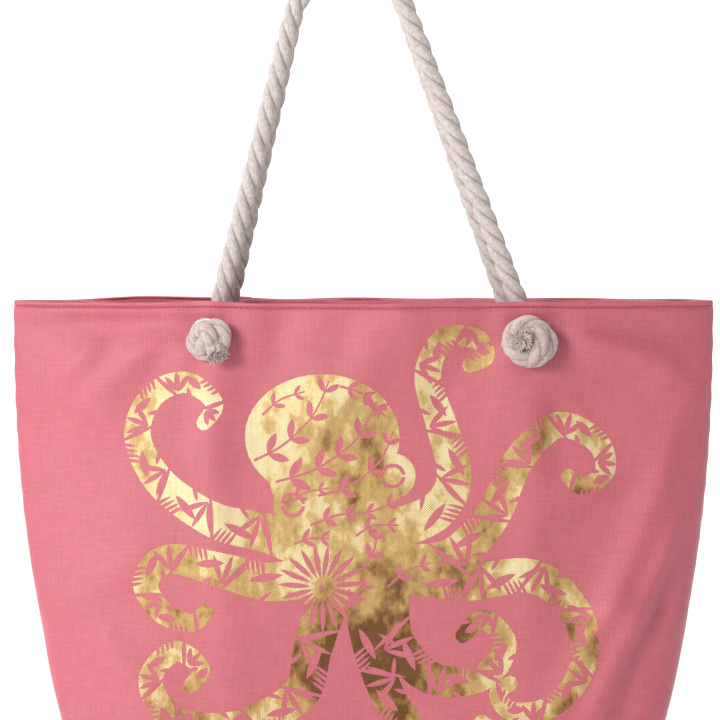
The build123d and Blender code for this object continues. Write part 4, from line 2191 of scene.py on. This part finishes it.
@dataclass
class Studio:
    """Pale floor that curves up behind the bag, soft lights and the camera."""

    distance: float = 2.35
    frame_width: float = 0.549
    aim: Point = (-0.0027, 0.0, 0.334)
    rise: float = math.radians(4.2)
    sweep_radius: float = 1.2

    def floor(self) -> Piece:
        """The floor and backdrop as one curved sheet.

        Returns:
            The floor.
        """
        half, back = 6.0, 3.0
        profile = [(-7.0, 0.0), (0.0, 0.0), (back, 0.0)]
        steps = 12
        for step in range(1, steps + 1):
            angle = math.pi / 2 * step / steps
            rise = self.sweep_radius * (1 - math.cos(angle))
            profile.append((back + self.sweep_radius * math.sin(angle), rise))
        profile.append((back + self.sweep_radius, 7.0))
        places = np.array([[(x, y, z - 0.0004) for x in np.linspace(-half, half, 9)] for y, z in profile])
        bm = bmesh.new()
        grid_into(bm, places, places[..., :2].copy())
        piece = new_piece("studio_floor", bm, StudioPaint("studio_paint").make())
        return piece

    def light(self, name: str, place: Point, size: float, power: float,
              aim: Point = (0.0, 0.0, 0.3)) -> None:
        """Add a soft square light.

        Args:
            name: Its name.
            place: Where it stands.
            size: Its side in metres.
            power: In watts.
            aim: The point that it faces, which is the bag unless given.
        """
        lamp = bpy.data.lights.new(name, "AREA")
        lamp.size = size
        lamp.energy = power
        holder = bpy.data.objects.new(name, lamp)
        holder.location = place
        holder.rotation_euler = (Vector(aim) - Vector(place)).to_track_quat("-Z", "Y").to_euler()
        bpy.context.scene.collection.objects.link(holder)

    def camera(self) -> None:
        """The camera: far off, a little above the rim."""
        lens = bpy.data.cameras.new("camera")
        lens.sensor_width = 36.0
        lens.lens = 36.0 * self.distance / self.frame_width
        lens.clip_end = 50
        holder = bpy.data.objects.new("camera", lens)
        aim = Vector(self.aim)
        holder.location = aim + Vector((0, -math.cos(self.rise), math.sin(self.rise))) * self.distance
        holder.rotation_euler = (math.pi / 2 - self.rise, 0, 0)
        bpy.context.scene.collection.objects.link(holder)
        bpy.context.scene.camera = holder

    def build(self) -> None:
        """Set up the whole studio."""
        self.camera()
        self.floor()
        self.light("key_light", (-1.62, -2.45, 1.15), 0.9, 55)
        self.light("side_light", (-2.4, -0.9, 1.7), 0.8, 18)
        self.light("fill_light", (2.2, -2.2, 0.9), 1.6, 2)
        self.light("top_light", (-0.2, 0.1, 2.6), 1.4, 10)
        for x in (-2.4, 2.4):
            self.light("backdrop_light", (x, 1.5, 2.9), 1.2, 95, aim=(x * 0.35, 4.2, 0.9))
        world = bpy.data.worlds.new("studio_air")
        world.use_nodes = True
        world.node_tree.nodes["Background"].inputs[0].default_value = (1.0, 1.0, 1.0, 1.0)
        world.node_tree.nodes["Background"].inputs[1].default_value = 0.36
        bpy.context.scene.world = world
        bpy.context.scene.view_settings.view_transform = "Standard"


def report(pieces: Iterable[Piece]) -> None:
    """Log each finished piece."""
    for piece in pieces:
        LOG.info("%s: %d faces", piece.name, len(piece.data.polygons))


def main() -> None:
    """Build the tote around the frame."""
    logging.basicConfig(level=logging.INFO, format="%(message)s")
    Studio().build()
    canvas = WovenCloth("coral_canvas", (0.775, 0.170, 0.218), (0.40, 0.050, 0.080)).make()
    pale, rosy = (0.80, 0.33, 0.38), (0.66, 0.24, 0.29)
    lining_cloth = WovenCloth("pale_lining", pale, rosy, thread=0.45 * MM, relief=0.1 * MM).make()
    thread = SewingThread("hem_thread", (0.50, 0.075, 0.115)).make()
    cotton = CottonRope("cotton_rope").make()
    # The knots' cotton is tinted darker and browner than the handles'.
    knot_cotton = CottonRope("darker_knot_cotton", (0.93, 0.86, 0.83)).make()
    nickel = NickelPlate("nickel_plate").make()
    film = FoilFilm("gold_foil", (0.62, 0.16, 0.20)).make()

    form = BagForm()
    for side in Side:
        for hand in Hand:
            low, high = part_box(f"{side.word}_{hand.word}_eyelet")
            form.eyelets.append((side, (low + high) / 2))
    ClothSettling(form).run()
    form.settle()

    walls = ClothWalls(form, canvas, thread)
    report(walls.build())
    report(Lining(form, walls, lining_cloth, PressedBoard("base_board_face").make()).build())
    report([FoilOctopus(form, film).build()])

    rope = LaidRope(cotton)
    tight = LaidRope(knot_cotton, strand_radius=4.3 * MM, strand_offset=3.3 * MM)
    tied = {
        (Side.FRONT, Hand.LEFT): (HANGING_TAIL, (4.6, -6.8, 0.0)),
        (Side.FRONT, Hand.RIGHT): (FACING_TAIL, (-4.8, -7.6, 0.0)),
        (Side.BACK, Hand.LEFT): (FACING_TAIL.mirrored(0.93), (1.0, -5.5, 0.0)),
        (Side.BACK, Hand.RIGHT): (HANGING_TAIL.mirrored(1.06), (-1.0, -6.0, 0.0)),
    }
    for side in Side:
        knots = []
        for hand in Hand:
            report(Eyelet(form, nickel, side, hand).build())
            shape, shift = tied[side, hand]
            knots.append(Knot(form, tight, side, hand, shape, shift).build())
        report(knots)
        report([RopeHandle(side, rope, knots).build()])


if __name__ == "__main__":
    main()
